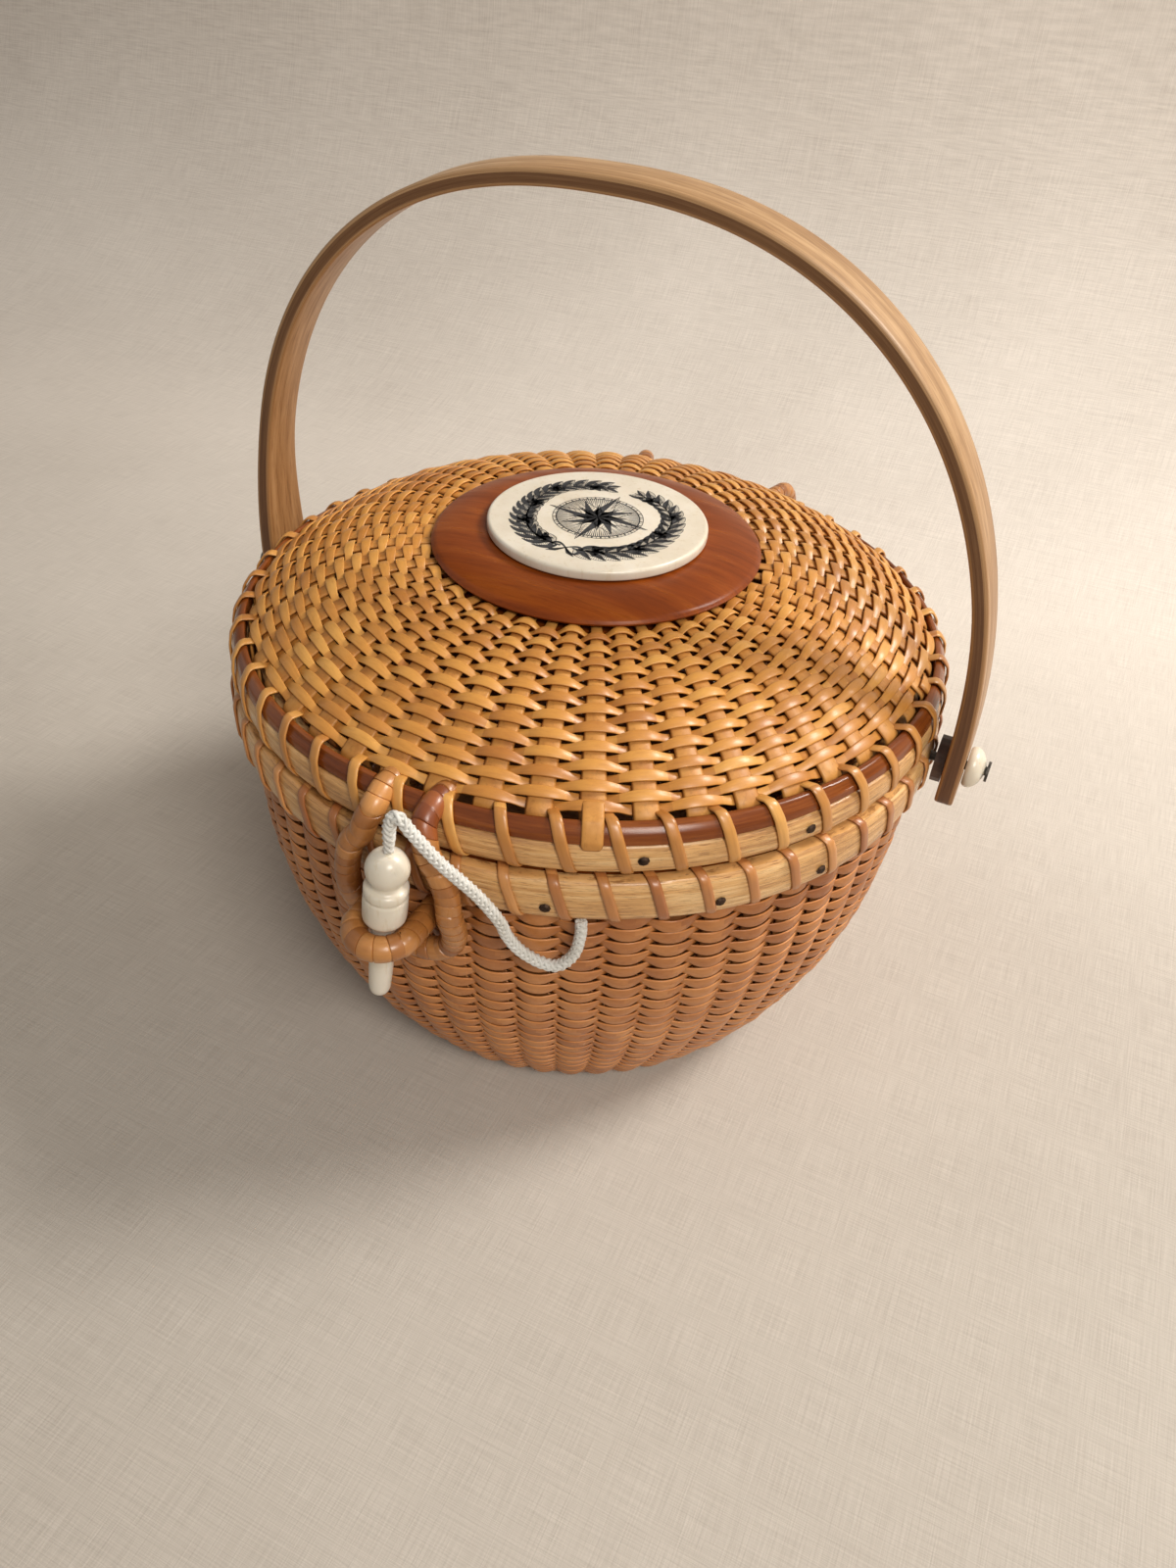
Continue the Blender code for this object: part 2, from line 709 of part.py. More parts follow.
def make_lid_rim():
    hoop = turned(
        "lid_outer_hoop",
        half_round(
            LID_HOOP_INNER, LID_HOOP_OUTER, LID_LOW, LID_HOOP_TOP, LID_HOOP_ROUNDING, LID_HOOP_ROUNDING_HEIGHT
        ),
        LID_TURNS,
        HOOP_WOOD,
    )
    strip = turned(
        "lid_edge_strip",
        [
            (LID_HOOP_INNER, STRIP_LOW),
            (LID_HOOP_INNER + STRIP_FOOT_THICKNESS, STRIP_LOW),
            (LID_HOOP_INNER + STRIP_TOP_THICKNESS, STRIP_TOP),
            (LID_HOOP_INNER, STRIP_TOP),
        ],
        LID_TURNS,
        STRIP_WOOD,
    )
    hasp_way = HASP_TOP_SPREAD + HASP_BAND + BAND_CLEARANCE
    cut(strip, notch_cutter("hasp_notch", FRONT, hasp_way, LID_HOOP_TOP))
    for name, turn in (("hinge_notch_right", BACK - HINGE_TURN), ("hinge_notch_left", BACK + HINGE_TURN)):
        cut(strip, notch_cutter(name, turn, HINGE_WINDOW, HINGE_HIGH - HINGE_BAND - GAP))
    turned(
        "lid_inner_hoop",
        [
            (LID_INNER_HOOP_INNER, LID_LOW),
            (LID_INNER_HOOP_OUTER, LID_LOW),
            (LID_INNER_HOOP_OUTER, LID_LOW + LID_INNER_HOOP_HEIGHT),
            (LID_INNER_HOOP_INNER, LID_LOW + LID_INNER_HOOP_HEIGHT),
        ],
        LID_TURNS,
        HOOP_WOOD,
    )
    turned(
        "lid_rim_filler",
        [
            (LID_STAVE_INNER, LID_LOW),
            (LID_STAVE_OUTER, LID_LOW),
            (LID_STAVE_OUTER, LID_LOW + FILLER_HEIGHT),
            (LID_STAVE_INNER, LID_LOW + FILLER_HEIGHT),
        ],
        LID_TURNS,
        STRIP_WOOD,
    )
    return hoop


def make_lid_lashing():
    low = LID_LOW - GAP
    face = LID_HOOP_OUTER + GAP
    path = [
        (LID_HOOP_INNER + LID_HOOP_THICKNESS / 2 - LASHING_TOP_WIDTH, low),
        (LID_HOOP_OUTER - LID_HOOP_ROUNDING, low),
        (face, LID_LOW + LID_HOOP_ROUNDING_HEIGHT - GAP),
        (face, LID_HOOP_TOP - LID_HOOP_ROUNDING_HEIGHT + GAP),
        (LID_HOOP_INNER + STRIP_TOP_THICKNESS + GAP, STRIP_TOP),
    ]
    outer = inside_by(path, [LASHING_THICKNESS] * len(path))

    def is_open(column, row):
        return row > 0 and column % 2 == 1

    turns = wrap_turns(LID_WRAPS, LID_HOOP_OUTER, LID_WRAP_SHIFT_SHARE)
    shell("lid_lashing", outer, path, turns, is_open, LASHING_CANE)


def make_lid_plate():
    groove = PLATE_RADIUS - PLATE_GROOVE_DEPTH
    under = PLATE_RADIUS - PLATE_LIP
    edge_high = PLATE_GROOVE_HIGH + PLATE_EDGE
    profile = [
        (0, PLATE_TOP),
        (PLATE_CROWN_RADIUS, PLATE_TOP),
        ((PLATE_CROWN_RADIUS + PLATE_RADIUS) / 2, PLATE_TOP - PLATE_CROWN / 3),
        (PLATE_RADIUS - PLATE_EDGE / 2, edge_high),
        (PLATE_RADIUS, edge_high - PLATE_EDGE / 2),
        (PLATE_RADIUS - PLATE_EDGE / 3, PLATE_GROOVE_HIGH),
        (groove, PLATE_GROOVE_HIGH),
        (groove, PLATE_GROOVE_LOW),
        (under, PLATE_GROOVE_LOW),
        (under, PLATE_GROOVE_LOW - PLATE_UNDER_THICKNESS),
        (0, PLATE_GROOVE_LOW - PLATE_UNDER_THICKNESS),
    ]
    turned("lid_plate", profile, LID_TURNS, PLATE_WOOD)


def make_plaque():
    high = PLAQUE_LOW + PLAQUE_THICKNESS
    profile = [
        (0, high),
        (PLAQUE_RADIUS - PLAQUE_ROUNDING, high),
        (PLAQUE_RADIUS, high - PLAQUE_ROUNDING),
        (PLAQUE_RADIUS, PLAQUE_LOW + PLAQUE_ROUNDING),
        (PLAQUE_RADIUS - PLAQUE_ROUNDING, PLAQUE_LOW),
        (0, PLAQUE_LOW),
    ]
    turned("lid_plaque", profile, LID_TURNS, BONE)


# Handle

def handle_outline():
    """The strap's outer line in the XZ plane from the pins' line, with its width and thickness."""
    below = [(1.0, 0.80), (0.90, 0.93), (0.66, 1.0)]
    stations = [(-FOOT_DROP * drop_share, width_share) for drop_share, width_share in below]
    line = [(HANDLE_HALF_SPAN, z, FOOT_WIDTH * share, FOOT_THICKNESS) for z, share in stations]
    for station in range(HANDLE_STATIONS + 1):
        turn = math.pi * station / HANDLE_STATIONS
        across, up = math.cos(turn), math.sin(turn)
        x = math.copysign(HANDLE_HALF_SPAN * abs(across) ** (2 / HANDLE_POWER), across)
        z = HANDLE_HEIGHT * abs(up) ** (2 / HANDLE_POWER)
        flare = max(1 - z / FOOT_FLARE_HEIGHT, 0.0)
        flare = flare * flare * (3 - 2 * flare)
        width = HANDLE_WIDTH + (FOOT_WIDTH - HANDLE_WIDTH) * flare
        thickness = HANDLE_THICKNESS + (FOOT_THICKNESS - HANDLE_THICKNESS) * flare
        line.append((x, z, width, thickness))
    line += [(-HANDLE_HALF_SPAN, z, FOOT_WIDTH * share, FOOT_THICKNESS) for z, share in reversed(stations)]
    return line


def make_handle():
    line = handle_outline()
    bm = bmesh.new()
    rings = []
    last = len(line) - 1
    for place, (x, z, width, thickness) in enumerate(line):
        before = line[max(place - 1, 0)]
        after = line[min(place + 1, last)]
        run = math.hypot(after[0] - before[0], after[1] - before[1])
        inward = (-(after[1] - before[1]) / run, (after[0] - before[0]) / run)
        half = width / 2
        section = (
            (half - HANDLE_EDGE, 0),
            (half, HANDLE_EDGE),
            (half, thickness - HANDLE_EDGE),
            (half - HANDLE_EDGE, thickness),
            (HANDLE_EDGE - half, thickness),
            (-half, thickness - HANDLE_EDGE),
            (-half, HANDLE_EDGE),
            (HANDLE_EDGE - half, 0),
        )
        rings.append(
            [bm.verts.new((x + inward[0] * depth, side, z + inward[1] * depth)) for side, depth in section]
        )
    for ring, after in zip(rings, rings[1:]):
        for corner in range(len(ring)):
            nxt = (corner + 1) % len(ring)
            bm.faces.new((ring[corner], ring[nxt], after[nxt], after[corner]))
    bm.faces.new(rings[0])
    bm.faces.new(list(reversed(rings[-1])))
    handle = finish_mesh("handle", bm, HANDLE_WOOD)
    handle.location = (0, 0, PIN_Z)
    handle.rotation_euler = (HANDLE_LEAN, 0, 0)
    return handle


def on_pin_axis(name, profile, sides, finish, mirror):
    """A turned piece on the handle's axis: profile is (radius, distance out from the middle)."""
    made = turned(name, profile, even_turns(sides), finish)
    made.rotation_euler = (0, math.pi / 2 * mirror, 0)
    made.location = (0, 0, PIN_Z)
    return made


def make_pin_bore():
    bm = bmesh.new()
    length = 2 * (KNOB_OUTER + PIN_HEAD_THICKNESS + KNOB_HEIGHT)
    bmesh.ops.create_cone(
        bm, cap_ends=True, segments=PIN_SIDES, radius1=PIN_BORE_RADIUS, radius2=PIN_BORE_RADIUS, depth=length
    )
    bore = add_cutter("pin_bore", bm)
    bore.rotation_euler = (0, math.pi / 2, 0)
    bore.location = (0, 0, PIN_Z)
    return bore


def make_side(side, mirror, bore):
    head = KNOB_OUTER + GAP
    spacer = on_pin_axis(
        "handle_spacer_" + side,
        [(0, SPACER_OUTER), (SPACER_RADIUS, SPACER_OUTER), (SPACER_RADIUS, SPACER_INNER), (0, SPACER_INNER)],
        PIN_SIDES,
        DARK_WOOD,
        mirror,
    )
    knob = on_pin_axis(
        "handle_knob_" + side,
        [
            (0, KNOB_OUTER),
            (KNOB_RADIUS * 0.50, KNOB_OUTER),
            (KNOB_RADIUS * 0.80, KNOB_INNER + KNOB_HEIGHT * 0.78),
            (KNOB_RADIUS * 0.97, KNOB_INNER + KNOB_HEIGHT * 0.45),
            (KNOB_RADIUS, KNOB_INNER + KNOB_HEIGHT * 0.20),
            (KNOB_RADIUS * 0.94, KNOB_INNER),
            (0, KNOB_INNER),
        ],
        PIN_SIDES,
        BONE,
        mirror,
    )
    cut(spacer, bore)
    cut(knob, bore)
    inner_end = INNER_HOOP_INNER - PIN_INNER_REACH
    on_pin_axis(
        "handle_pin_" + side,
        [
            (0, head + PIN_HEAD_THICKNESS),
            (PIN_HEAD_RADIUS, head + PIN_HEAD_THICKNESS),
            (PIN_HEAD_RADIUS, head),
            (PIN_RADIUS, head),
            (PIN_RADIUS, inner_end),
            (0, inner_end),
        ],
        PIN_SIDES,
        PIN_METAL,
        mirror,
    )


# Clasp and hinges

def on_front(x, radius, z):
    return (x, -math.sqrt(radius * radius - x * x), z)


def make_ring():
    """The staple: a closed oval of wrapped cane through two windows of the wall."""
    bend = 8
    points = []
    for step in range(bend + 1):
        turn = math.pi * step / bend
        points.append(
            (RING_HALF_WIDTH * math.cos(turn), PEG_Y - RING_HALF_WIDTH * math.sin(turn), RING_Z)
        )
    inner_middle = RING_INNER_Y
    for step in range(bend + 1):
        turn = math.pi * step / bend
        points.append(
            (-RING_HALF_WIDTH * math.cos(turn), inner_middle + RING_HALF_WIDTH * math.sin(turn), RING_Z)
        )
    band("staple_ring", points, RING_BAND, WRAPPED_CANE, True)


def hasp_half():
    """One half of the hasp's middle line, from the bar's middle to the cross bar inside the lid."""
    hoop_face = HOOP_RADIUS + LASHING_THICKNESS + 2 * GAP + HASP_BAND
    lid_face = LID_HOOP_OUTER + LASHING_THICKNESS + 2 * GAP + HASP_BAND
    wall_face = wall_radius(RING_Z) + GAP + HASP_BAND
    bar = RING_Z - RING_BAND - HASP_BAND - HASP_SLACK
    leg = RING_HALF_WIDTH + RING_BAND + HASP_BAND + HASP_SIDE_CLEARANCE
    inside = LID_INNER_HOOP_INNER - GAP - HASP_BAND
    corner_low = LID_HOOP_TOP - LID_HOOP_ROUNDING_HEIGHT
    corner_in = LID_HOOP_OUTER - LID_HOOP_ROUNDING
    return [
        (0, wall_face + GAP, bar),
        (leg * 0.48, wall_face + GAP, bar),
        (leg * 0.83, wall_face + GAP, bar + HASP_BAND),
        (leg, (wall_face + hoop_face) / 2, RING_Z - RING_BAND),
        (leg, hoop_face, BODY_HOOP_LOW),
        (leg * 0.97, hoop_face, (BODY_HOOP_LOW + SEAM_HEIGHT) / 2),
        (leg * 0.84, hoop_face, SEAM_HEIGHT),
        (leg * 0.64, (hoop_face + lid_face) / 2, (SEAM_HEIGHT + corner_low) / 2),
        (HASP_TOP_SPREAD * 1.2, lid_face, corner_low),
        (HASP_TOP_SPREAD, (lid_face + corner_in) / 2 + HASP_BAND / 4, LID_HOOP_TOP + HASP_BAND / 2),
        (HASP_TOP_SPREAD, corner_in, HASP_HIGH),
        (HASP_TOP_SPREAD, LID_HOOP_INNER, HASP_HIGH),
        (HASP_TOP_SPREAD, (LID_HOOP_INNER + inside) / 2, HASP_HIGH),
        (HASP_TOP_SPREAD * 0.9, inside + HASP_BAND / 2, HASP_HIGH),
        (HASP_TOP_SPREAD * 0.55, inside - HASP_BAND / 3, HASP_HIGH),
        (0, inside - HASP_BAND / 3, HASP_HIGH),
    ]


def make_hasp():
    half = [on_front(*point) for point in hasp_half()]
    mirrored = [(-x, y, z) for x, y, z in half[1:-1]]
    points = smooth(half + mirrored[::-1], HASP_BAND, closed=True)
    return band("hasp_loop", points, HASP_BAND, WRAPPED_CANE, True)


def make_peg():
    waist = PEG_NECK_HEIGHT
    collar = PEG_COLLAR_HEIGHT
    profile = [(0, PEG_HEAD_HEIGHT + PEG_HEAD_RADIUS)]
    for step in range(1, PEG_HEAD_STEPS + 1):
        turn = PEG_HEAD_TURN * step / PEG_HEAD_STEPS
        profile.append((PEG_HEAD_RADIUS * math.sin(turn), PEG_HEAD_HEIGHT + PEG_HEAD_RADIUS * math.cos(turn)))
    profile += [
        (PEG_NECK_RADIUS, waist),
        (PEG_BODY_RADIUS, waist - PEG_GROOVE_WIDTH),
        (PEG_BODY_RADIUS, collar + PEG_GROOVE_WIDTH),
        (PEG_GROOVE_RADIUS, collar),
        (PEG_BODY_RADIUS, collar - PEG_GROOVE_WIDTH),
        (PEG_BODY_RADIUS, PEG_SHOULDER_HEIGHT),
        (PEG_BODY_RADIUS * 0.88, PEG_SHOULDER_HEIGHT * 0.80),
        (PEG_SEAT_RADIUS * 1.05, RING_BAND * 0.50),
        (PEG_SEAT_RADIUS, 0),
        (PEG_SEAT_RADIUS, -RING_BAND),
        (PEG_TIP_RADIUS, PEG_TIP_RADIUS - PEG_TIP_LENGTH),
        (PEG_TIP_RADIUS * 0.7, PEG_TIP_RADIUS * 0.3 - PEG_TIP_LENGTH),
        (0, -PEG_TIP_LENGTH),
    ]
    peg = turned("peg", profile, even_turns(PEG_SIDES), BONE)
    peg.location = (0, PEG_Y, RING_Z)
    peg.rotation_euler = (0, PEG_TILT, 0)


def make_cord():
    points = smooth(CORD_ROUTE, CORD_STEP)
    band("peg_cord", points, CORD_RADIUS, CORD_BRAID, False)


def make_hinge_loop(name, turn):
    """A wrapped band round both hoops, in the upright plane through the basket's middle."""
    outer = HOOP_RADIUS + LASHING_THICKNESS + 3 * GAP + HINGE_BAND
    inner = INNER_HOOP_INNER - HINGE_INNER_REACH
    high = HINGE_HIGH
    low = BODY_HOOP_LOW - LASHING_THICKNESS - 3 * GAP - HINGE_BAND
    corner = HINGE_CORNER
    middles = (
        (outer - corner, high - corner, 0),
        (inner + corner, high - corner, 1),
        (inner + corner, low + corner, 2),
        (outer - corner, low + corner, 3),
    )
    points = []
    bend = 4
    for r, z, quarter in middles:
        for step in range(bend + 1):
            angle = math.pi / 2 * (quarter + step / bend)
            radius = r + corner * math.cos(angle)
            points.append((radius * math.cos(turn), radius * math.sin(turn), z + corner * math.sin(angle)))
    band(name, points, HINGE_BAND, WRAPPED_CANE, True)


def make_nails(prefix, hoop, turns, radius, middle):
    """Nails through the hoop's outside, and the holes that they stand in."""
    holes = bmesh.new()
    for number, turn in enumerate(turns, 1):
        nail = turned(
            prefix + str(number),
            [
                (0, NAIL_HEAD_HEIGHT + GAP),
                (NAIL_HEAD_RADIUS * 0.6, NAIL_HEAD_HEIGHT + GAP),
                (NAIL_HEAD_RADIUS, GAP),
                (NAIL_SHANK_RADIUS, GAP),
                (NAIL_SHANK_RADIUS, -NAIL_SHANK_LENGTH),
                (0, -NAIL_SHANK_LENGTH),
            ],
            even_turns(NAIL_SIDES),
            NAIL_METAL,
        )
        outward = Vector((math.cos(turn), math.sin(turn), 0))
        turning = outward.to_track_quat("Z", "Y")
        nail.rotation_mode = "QUATERNION"
        nail.rotation_quaternion = turning
        nail.location = outward * radius + Vector((0, 0, middle))
        reach = NAIL_SHANK_LENGTH + GAP
        bore = (NAIL_SHANK_RADIUS + NAIL_CLEARANCE) / math.cos(math.pi / NAIL_SIDES)
        made = bmesh.ops.create_cone(
            holes, cap_ends=True, segments=NAIL_SIDES, radius1=bore, radius2=bore, depth=2 * reach
        )
        for vert in made["verts"]:
            vert.co = turning @ vert.co + nail.location
    cut(hoop, add_cutter(prefix + "holes", holes))


def hang(name, place, pieces):
    """An empty on a joint's axis that carries its pieces."""
    pivot = bpy.data.objects.new(name, None)
    pivot.location = place
    bpy.context.scene.collection.objects.link(pivot)
    for piece in pieces:
        piece.parent = pivot
        piece.matrix_parent_inverse = Matrix.Translation(place).inverted()
    return pivot


# The whole part

pin_bore = make_pin_bore()
wall = make_body_wall()
make_base()
body_hoop, body_inner_hoop = make_body_rim()
body_lashing = make_body_lashing()
make_lid_weave()
lid_hoop = make_lid_rim()
make_lid_lashing()
make_lid_plate()
make_plaque()
strap = make_handle()
make_side("right", 1, pin_bore)
make_side("left", -1, pin_bore)
for drilled in (wall, body_hoop, body_inner_hoop, body_lashing, strap):
    cut(drilled, pin_bore)
make_ring()
hasp = make_hasp()
make_peg()
make_cord()
make_hinge_loop("hinge_loop_right", BACK - HINGE_TURN)
make_hinge_loop("hinge_loop_left", BACK + HINGE_TURN)
body_spaces = [math.tau * space / BODY_WRAPS for space in BODY_NAIL_SPACES]
lid_spaces = [math.tau * space / LID_WRAPS for space in LID_NAIL_SPACES]
make_nails("basket_nail_", body_hoop, body_spaces, HOOP_RADIUS, BODY_HOOP_LOW + NAIL_ABOVE_EDGE)
make_nails("lid_nail_", lid_hoop, lid_spaces, LID_HOOP_OUTER, LID_LOW + NAIL_ABOVE_EDGE)
lid_pieces = [piece for piece in bpy.data.objects if piece.name.startswith("lid_")]
lid_pivot = hang("lid_pivot", Vector((0, HOOP_RADIUS + LASHING_THICKNESS, SEAM_HEIGHT)), lid_pieces)
hasp_pivot = hang("hasp_pivot", Vector((0, -(LID_HOOP_INNER + LID_HOOP_OUTER) / 2, HASP_HIGH)), [hasp])
hasp_pivot.parent = lid_pivot
hasp_pivot.matrix_parent_inverse = Matrix.Translation(lid_pivot.location).inverted()
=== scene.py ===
"""The looks of a round lidded basket: woven cane, bent wood, wound cane, bone and braided cord.

All lengths are in metres, in the frame of the solids: the hasp faces -Y and the handle's pins lie along X.
"""

from math import asin, atan2, copysign, cos, pi, radians, sin, sqrt, tanh, tau

import bmesh
import bpy
import numpy as np
from mathutils import Matrix, Vector


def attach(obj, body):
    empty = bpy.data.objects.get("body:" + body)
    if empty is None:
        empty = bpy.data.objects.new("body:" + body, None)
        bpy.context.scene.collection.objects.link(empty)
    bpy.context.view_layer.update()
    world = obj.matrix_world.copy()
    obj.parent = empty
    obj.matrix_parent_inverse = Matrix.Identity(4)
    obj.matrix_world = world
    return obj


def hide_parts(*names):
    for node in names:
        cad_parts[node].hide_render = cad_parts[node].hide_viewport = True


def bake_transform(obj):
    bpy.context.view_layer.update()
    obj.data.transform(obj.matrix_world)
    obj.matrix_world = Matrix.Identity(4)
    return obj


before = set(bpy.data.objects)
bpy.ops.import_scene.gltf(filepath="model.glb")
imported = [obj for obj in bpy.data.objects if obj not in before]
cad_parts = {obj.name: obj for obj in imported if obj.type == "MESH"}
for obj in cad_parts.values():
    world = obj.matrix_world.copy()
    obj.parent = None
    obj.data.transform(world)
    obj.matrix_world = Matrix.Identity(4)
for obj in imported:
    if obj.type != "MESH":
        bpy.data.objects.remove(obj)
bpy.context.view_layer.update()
scene = bpy.context.scene


# Camera at the photograph's angle

EYE = (0.11393, -0.2648, 0.29068)
VIEW_TURN, VIEW_LIFT, VIEW_ROLL = map(radians, (22.9, 38.978, 3.668))


def place_camera():
    data = bpy.data.cameras.new("camera")
    data.sensor_fit = "VERTICAL"
    data.sensor_height = 36.0
    data.lens = 26.51
    data.clip_start = 0.01
    eye = bpy.data.objects.new("camera", data)
    scene.collection.objects.link(eye)
    turned_up = Matrix.Rotation(pi / 2 - VIEW_LIFT, 4, "X") @ Matrix.Rotation(VIEW_ROLL, 4, "Z")
    eye.matrix_world = Matrix.Translation(EYE) @ Matrix.Rotation(VIEW_TURN, 4, "Z") @ turned_up
    scene.camera = eye


place_camera()


# Node materials

WHITE = (1, 1, 1)


class Look:
    """Short names for the nodes of a material, or of the room's light."""

    def __init__(self, owner):
        owner.use_nodes = True
        self.owner = owner
        self.tree = owner.node_tree

    def feed(self, node, inputs):
        """Each input is set to a value, or linked to another node's output."""
        for key, value in inputs.items():
            socket = node.inputs[key]
            if isinstance(value, bpy.types.NodeSocket):
                self.tree.links.new(value, socket)
            else:
                socket.default_value = (*value, 1) if socket.type == "RGBA" else value

    def node(self, kind, inputs=None, **settings):
        made = self.tree.nodes.new("ShaderNode" + kind)
        for key, value in settings.items():
            setattr(made, key, value)
        self.feed(made, inputs or {})
        return made

    def place(self, kind="Object", stretch=None):
        source = self.node("TexCoord").outputs[kind]
        if stretch is None:
            return source
        return self.node("Mapping", {"Vector": source, "Scale": stretch}).outputs["Vector"]

    def split(self, kind="Object"):
        return self.node("SeparateXYZ", {0: self.place(kind)}).outputs

    def noise(self, scale, detail, roughness=0.55, distortion=0.0, kind="Object", stretch=None):
        inputs = {"Scale": scale, "Detail": detail, "Roughness": roughness, "Distortion": distortion}
        return self.node("TexNoise", {"Vector": self.place(kind, stretch), **inputs}).outputs["Fac"]

    def ramp(self, value, stops, kind="LINEAR"):
        made = self.node("ValToRGB", {"Fac": value})
        band = made.color_ramp
        band.interpolation = kind
        while len(band.elements) < len(stops):
            band.elements.new(0.5)
        for element, (place, colour) in zip(band.elements, stops):
            element.position = place
            element.color = (*colour, 1)
        return made.outputs["Color"]

    def math(self, operation, *values):
        return self.node("Math", dict(enumerate(values)), operation=operation).outputs[0]

    def total(self, *parts):
        """The sum of some values, each times its share."""
        first, *others = [self.math("MULTIPLY", value, share) for value, share in parts]
        for other in others:
            first = self.math("ADD", first, other)
        return first

    def remap(self, value, low, high, to_low, to_high):
        limits = {"From Min": low, "From Max": high, "To Min": to_low, "To Max": to_high}
        return self.node("MapRange", {"Value": value, **limits}).outputs["Result"]

    def tint(self, colour, value, stops, share=1.0, kind="LINEAR"):
        """A colour multiplied by the one that a ramp gives for a value."""
        inputs = {0: share, 6: colour, 7: self.ramp(value, stops, kind)}
        return self.node("Mix", inputs, data_type="RGBA", blend_type="MULTIPLY").outputs[2]


class Surface(Look):
    """A Principled material."""

    def __init__(self, name, roughness, coat=0.0, coat_roughness=0.15, **more):
        super().__init__(bpy.data.materials.new(name))
        self.shader = self.tree.nodes["Principled BSDF"]
        coated = {"Coat Weight": coat, "Coat Roughness": coat_roughness}
        self.feed(self.shader, {"Roughness": roughness, **coated, **more})

    def finish(self, colour, relief=None, gloss=None):
        """Relief is a height, its strength and distance. Gloss is a value and two roughnesses it gives."""
        inputs = {"Base Color": colour}
        if gloss:
            value, dull, shiny = gloss
            inputs["Roughness"] = self.remap(value, 0.3, 0.7, dull, shiny)
        if relief:
            bump = self.node("Bump", dict(zip(("Height", "Strength", "Distance"), relief)))
            inputs["Normal"] = bump.outputs["Normal"]
        self.feed(self.shader, inputs)
        return self.owner


def cane_material(name, pale, middle, dark, along, across=10.0, coat=0.25, roughness=0.42,
                  shares=(0.34, 0.36, 0.3), wraps=None, rind=None, rim_shade_and_highlight=False):
    """Varnished cane, with fibres along it. Its map counts bumps or wraps, and each has its own tone.

    The shares of a tone: the bump's own, small patches, wide patches. With the rim option, each row gets
    painted shade on one edge and on its inner face, and a painted highlight along its other edge.
    """
    look = Surface(name, roughness, coat, 0.22)
    split = look.split("UV")
    number = look.math("FLOOR", split["X"])
    tone = look.node("TexWhiteNoise", {"W": number}, noise_dimensions="1D").outputs["Value"]
    fibres = look.noise(1.0, 5.0, 0.65, kind="UV", stretch=(along, across, 1))
    value = look.total(*zip((tone, look.noise(55.0, 3.0), look.noise(14.0, 2.0)), shares))
    colour = look.ramp(value, [(0.28, dark), (0.5, middle), (0.74, pale)])
    colour = look.tint(colour, fibres, [(0.3, (0.74, 0.66, 0.58)), (0.55, WHITE)], 0.55)
    if rim_shade_and_highlight:
        # Painted light: each row's one edge and inner face are darkened as painted shade, and its other edge
        # is brightened as a painted highlight.
        under, over = (0.66, 0.58, 0.52), (1.32, 1.36, 1.42)
        tints = (under, under, WHITE, WHITE, over, over, under)
        edges = zip((0.0, 0.11, 0.17, 0.44, 0.5, 0.62, 0.72), tints)
        colour = look.tint(colour, split["Y"], list(edges))
    if rind:
        colour = look.tint(colour, look.math("DIVIDE", number, float(wraps)), rind, 1.0, "CONSTANT")
    return look.finish(colour, (fibres, 0.35, 0.00012), (fibres, roughness + 0.12, roughness - 0.08))


def wood_material(name, pale, middle, dark, stretch, roughness=0.35, coat=0.2, pores=0.6, relief=0.3,
                  distance=0.0002, specular=0.5):
    """Straight grain: long streaks with fine dark pores."""
    look = Surface(name, roughness, coat, 0.2, **{"Specular IOR Level": specular})
    streaks = look.noise(1.0, 6.0, 0.62, 0.15, stretch=stretch)
    fine = look.noise(1.7, 4.0, 0.7, stretch=tuple(3.1 * s for s in stretch))
    value = look.total((streaks, 0.62), (look.noise(22.0, 2.0), 0.38))
    colour = look.ramp(value, [(0.32, dark), (0.5, middle), (0.66, pale)])
    colour = look.tint(colour, fine, [(0.36, (0.45, 0.36, 0.3)), (0.47, WHITE)], pores)
    height = look.total((streaks, 0.6), (fine, 0.4))
    return look.finish(colour, (height, relief, distance), (streaks, roughness + 0.1, roughness - 0.06))


def handle_material():
    """Bent hardwood: pale on its broad faces, browner on its narrow edges, partly their own colour and partly
    painted shade, and browner towards its feet.
    """
    look = Surface("handle_wood", 0.42, 0.12, 0.2)
    streaks = look.noise(1.0, 6.0, 0.62, 0.15, "UV", (9, 60, 1))
    fine = look.noise(1.0, 4.0, 0.7, 0.0, "UV", (40, 260, 1))
    dark, middle, pale = (0.32, 0.17, 0.068), (0.43, 0.245, 0.108), (0.54, 0.335, 0.168)
    colour = look.ramp(streaks, [(0.34, dark), (0.5, middle), (0.64, pale)])
    colour = look.tint(colour, fine, [(0.36, (0.5, 0.38, 0.28)), (0.5, WHITE)], 0.6)
    # The narrow edges: their own browner colour, darkened further as painted shade.
    cut = (0.4, 0.32, 0.26)
    edges = [(0.38, WHITE), (0.42, cut), (0.51, cut), (0.55, WHITE), (0.9, WHITE), (0.94, cut)]
    colour = look.tint(colour, look.split("UV")["Y"], edges)
    height = look.remap(look.split()["Z"], 0.1, 0.2, 0.0, 1.0)
    colour = look.tint(colour, height, [(0.0, (0.74, 0.6, 0.44)), (1.0, WHITE)])
    return look.finish(colour, (streaks, 0.25, 0.0002), (streaks, 0.52, 0.36))


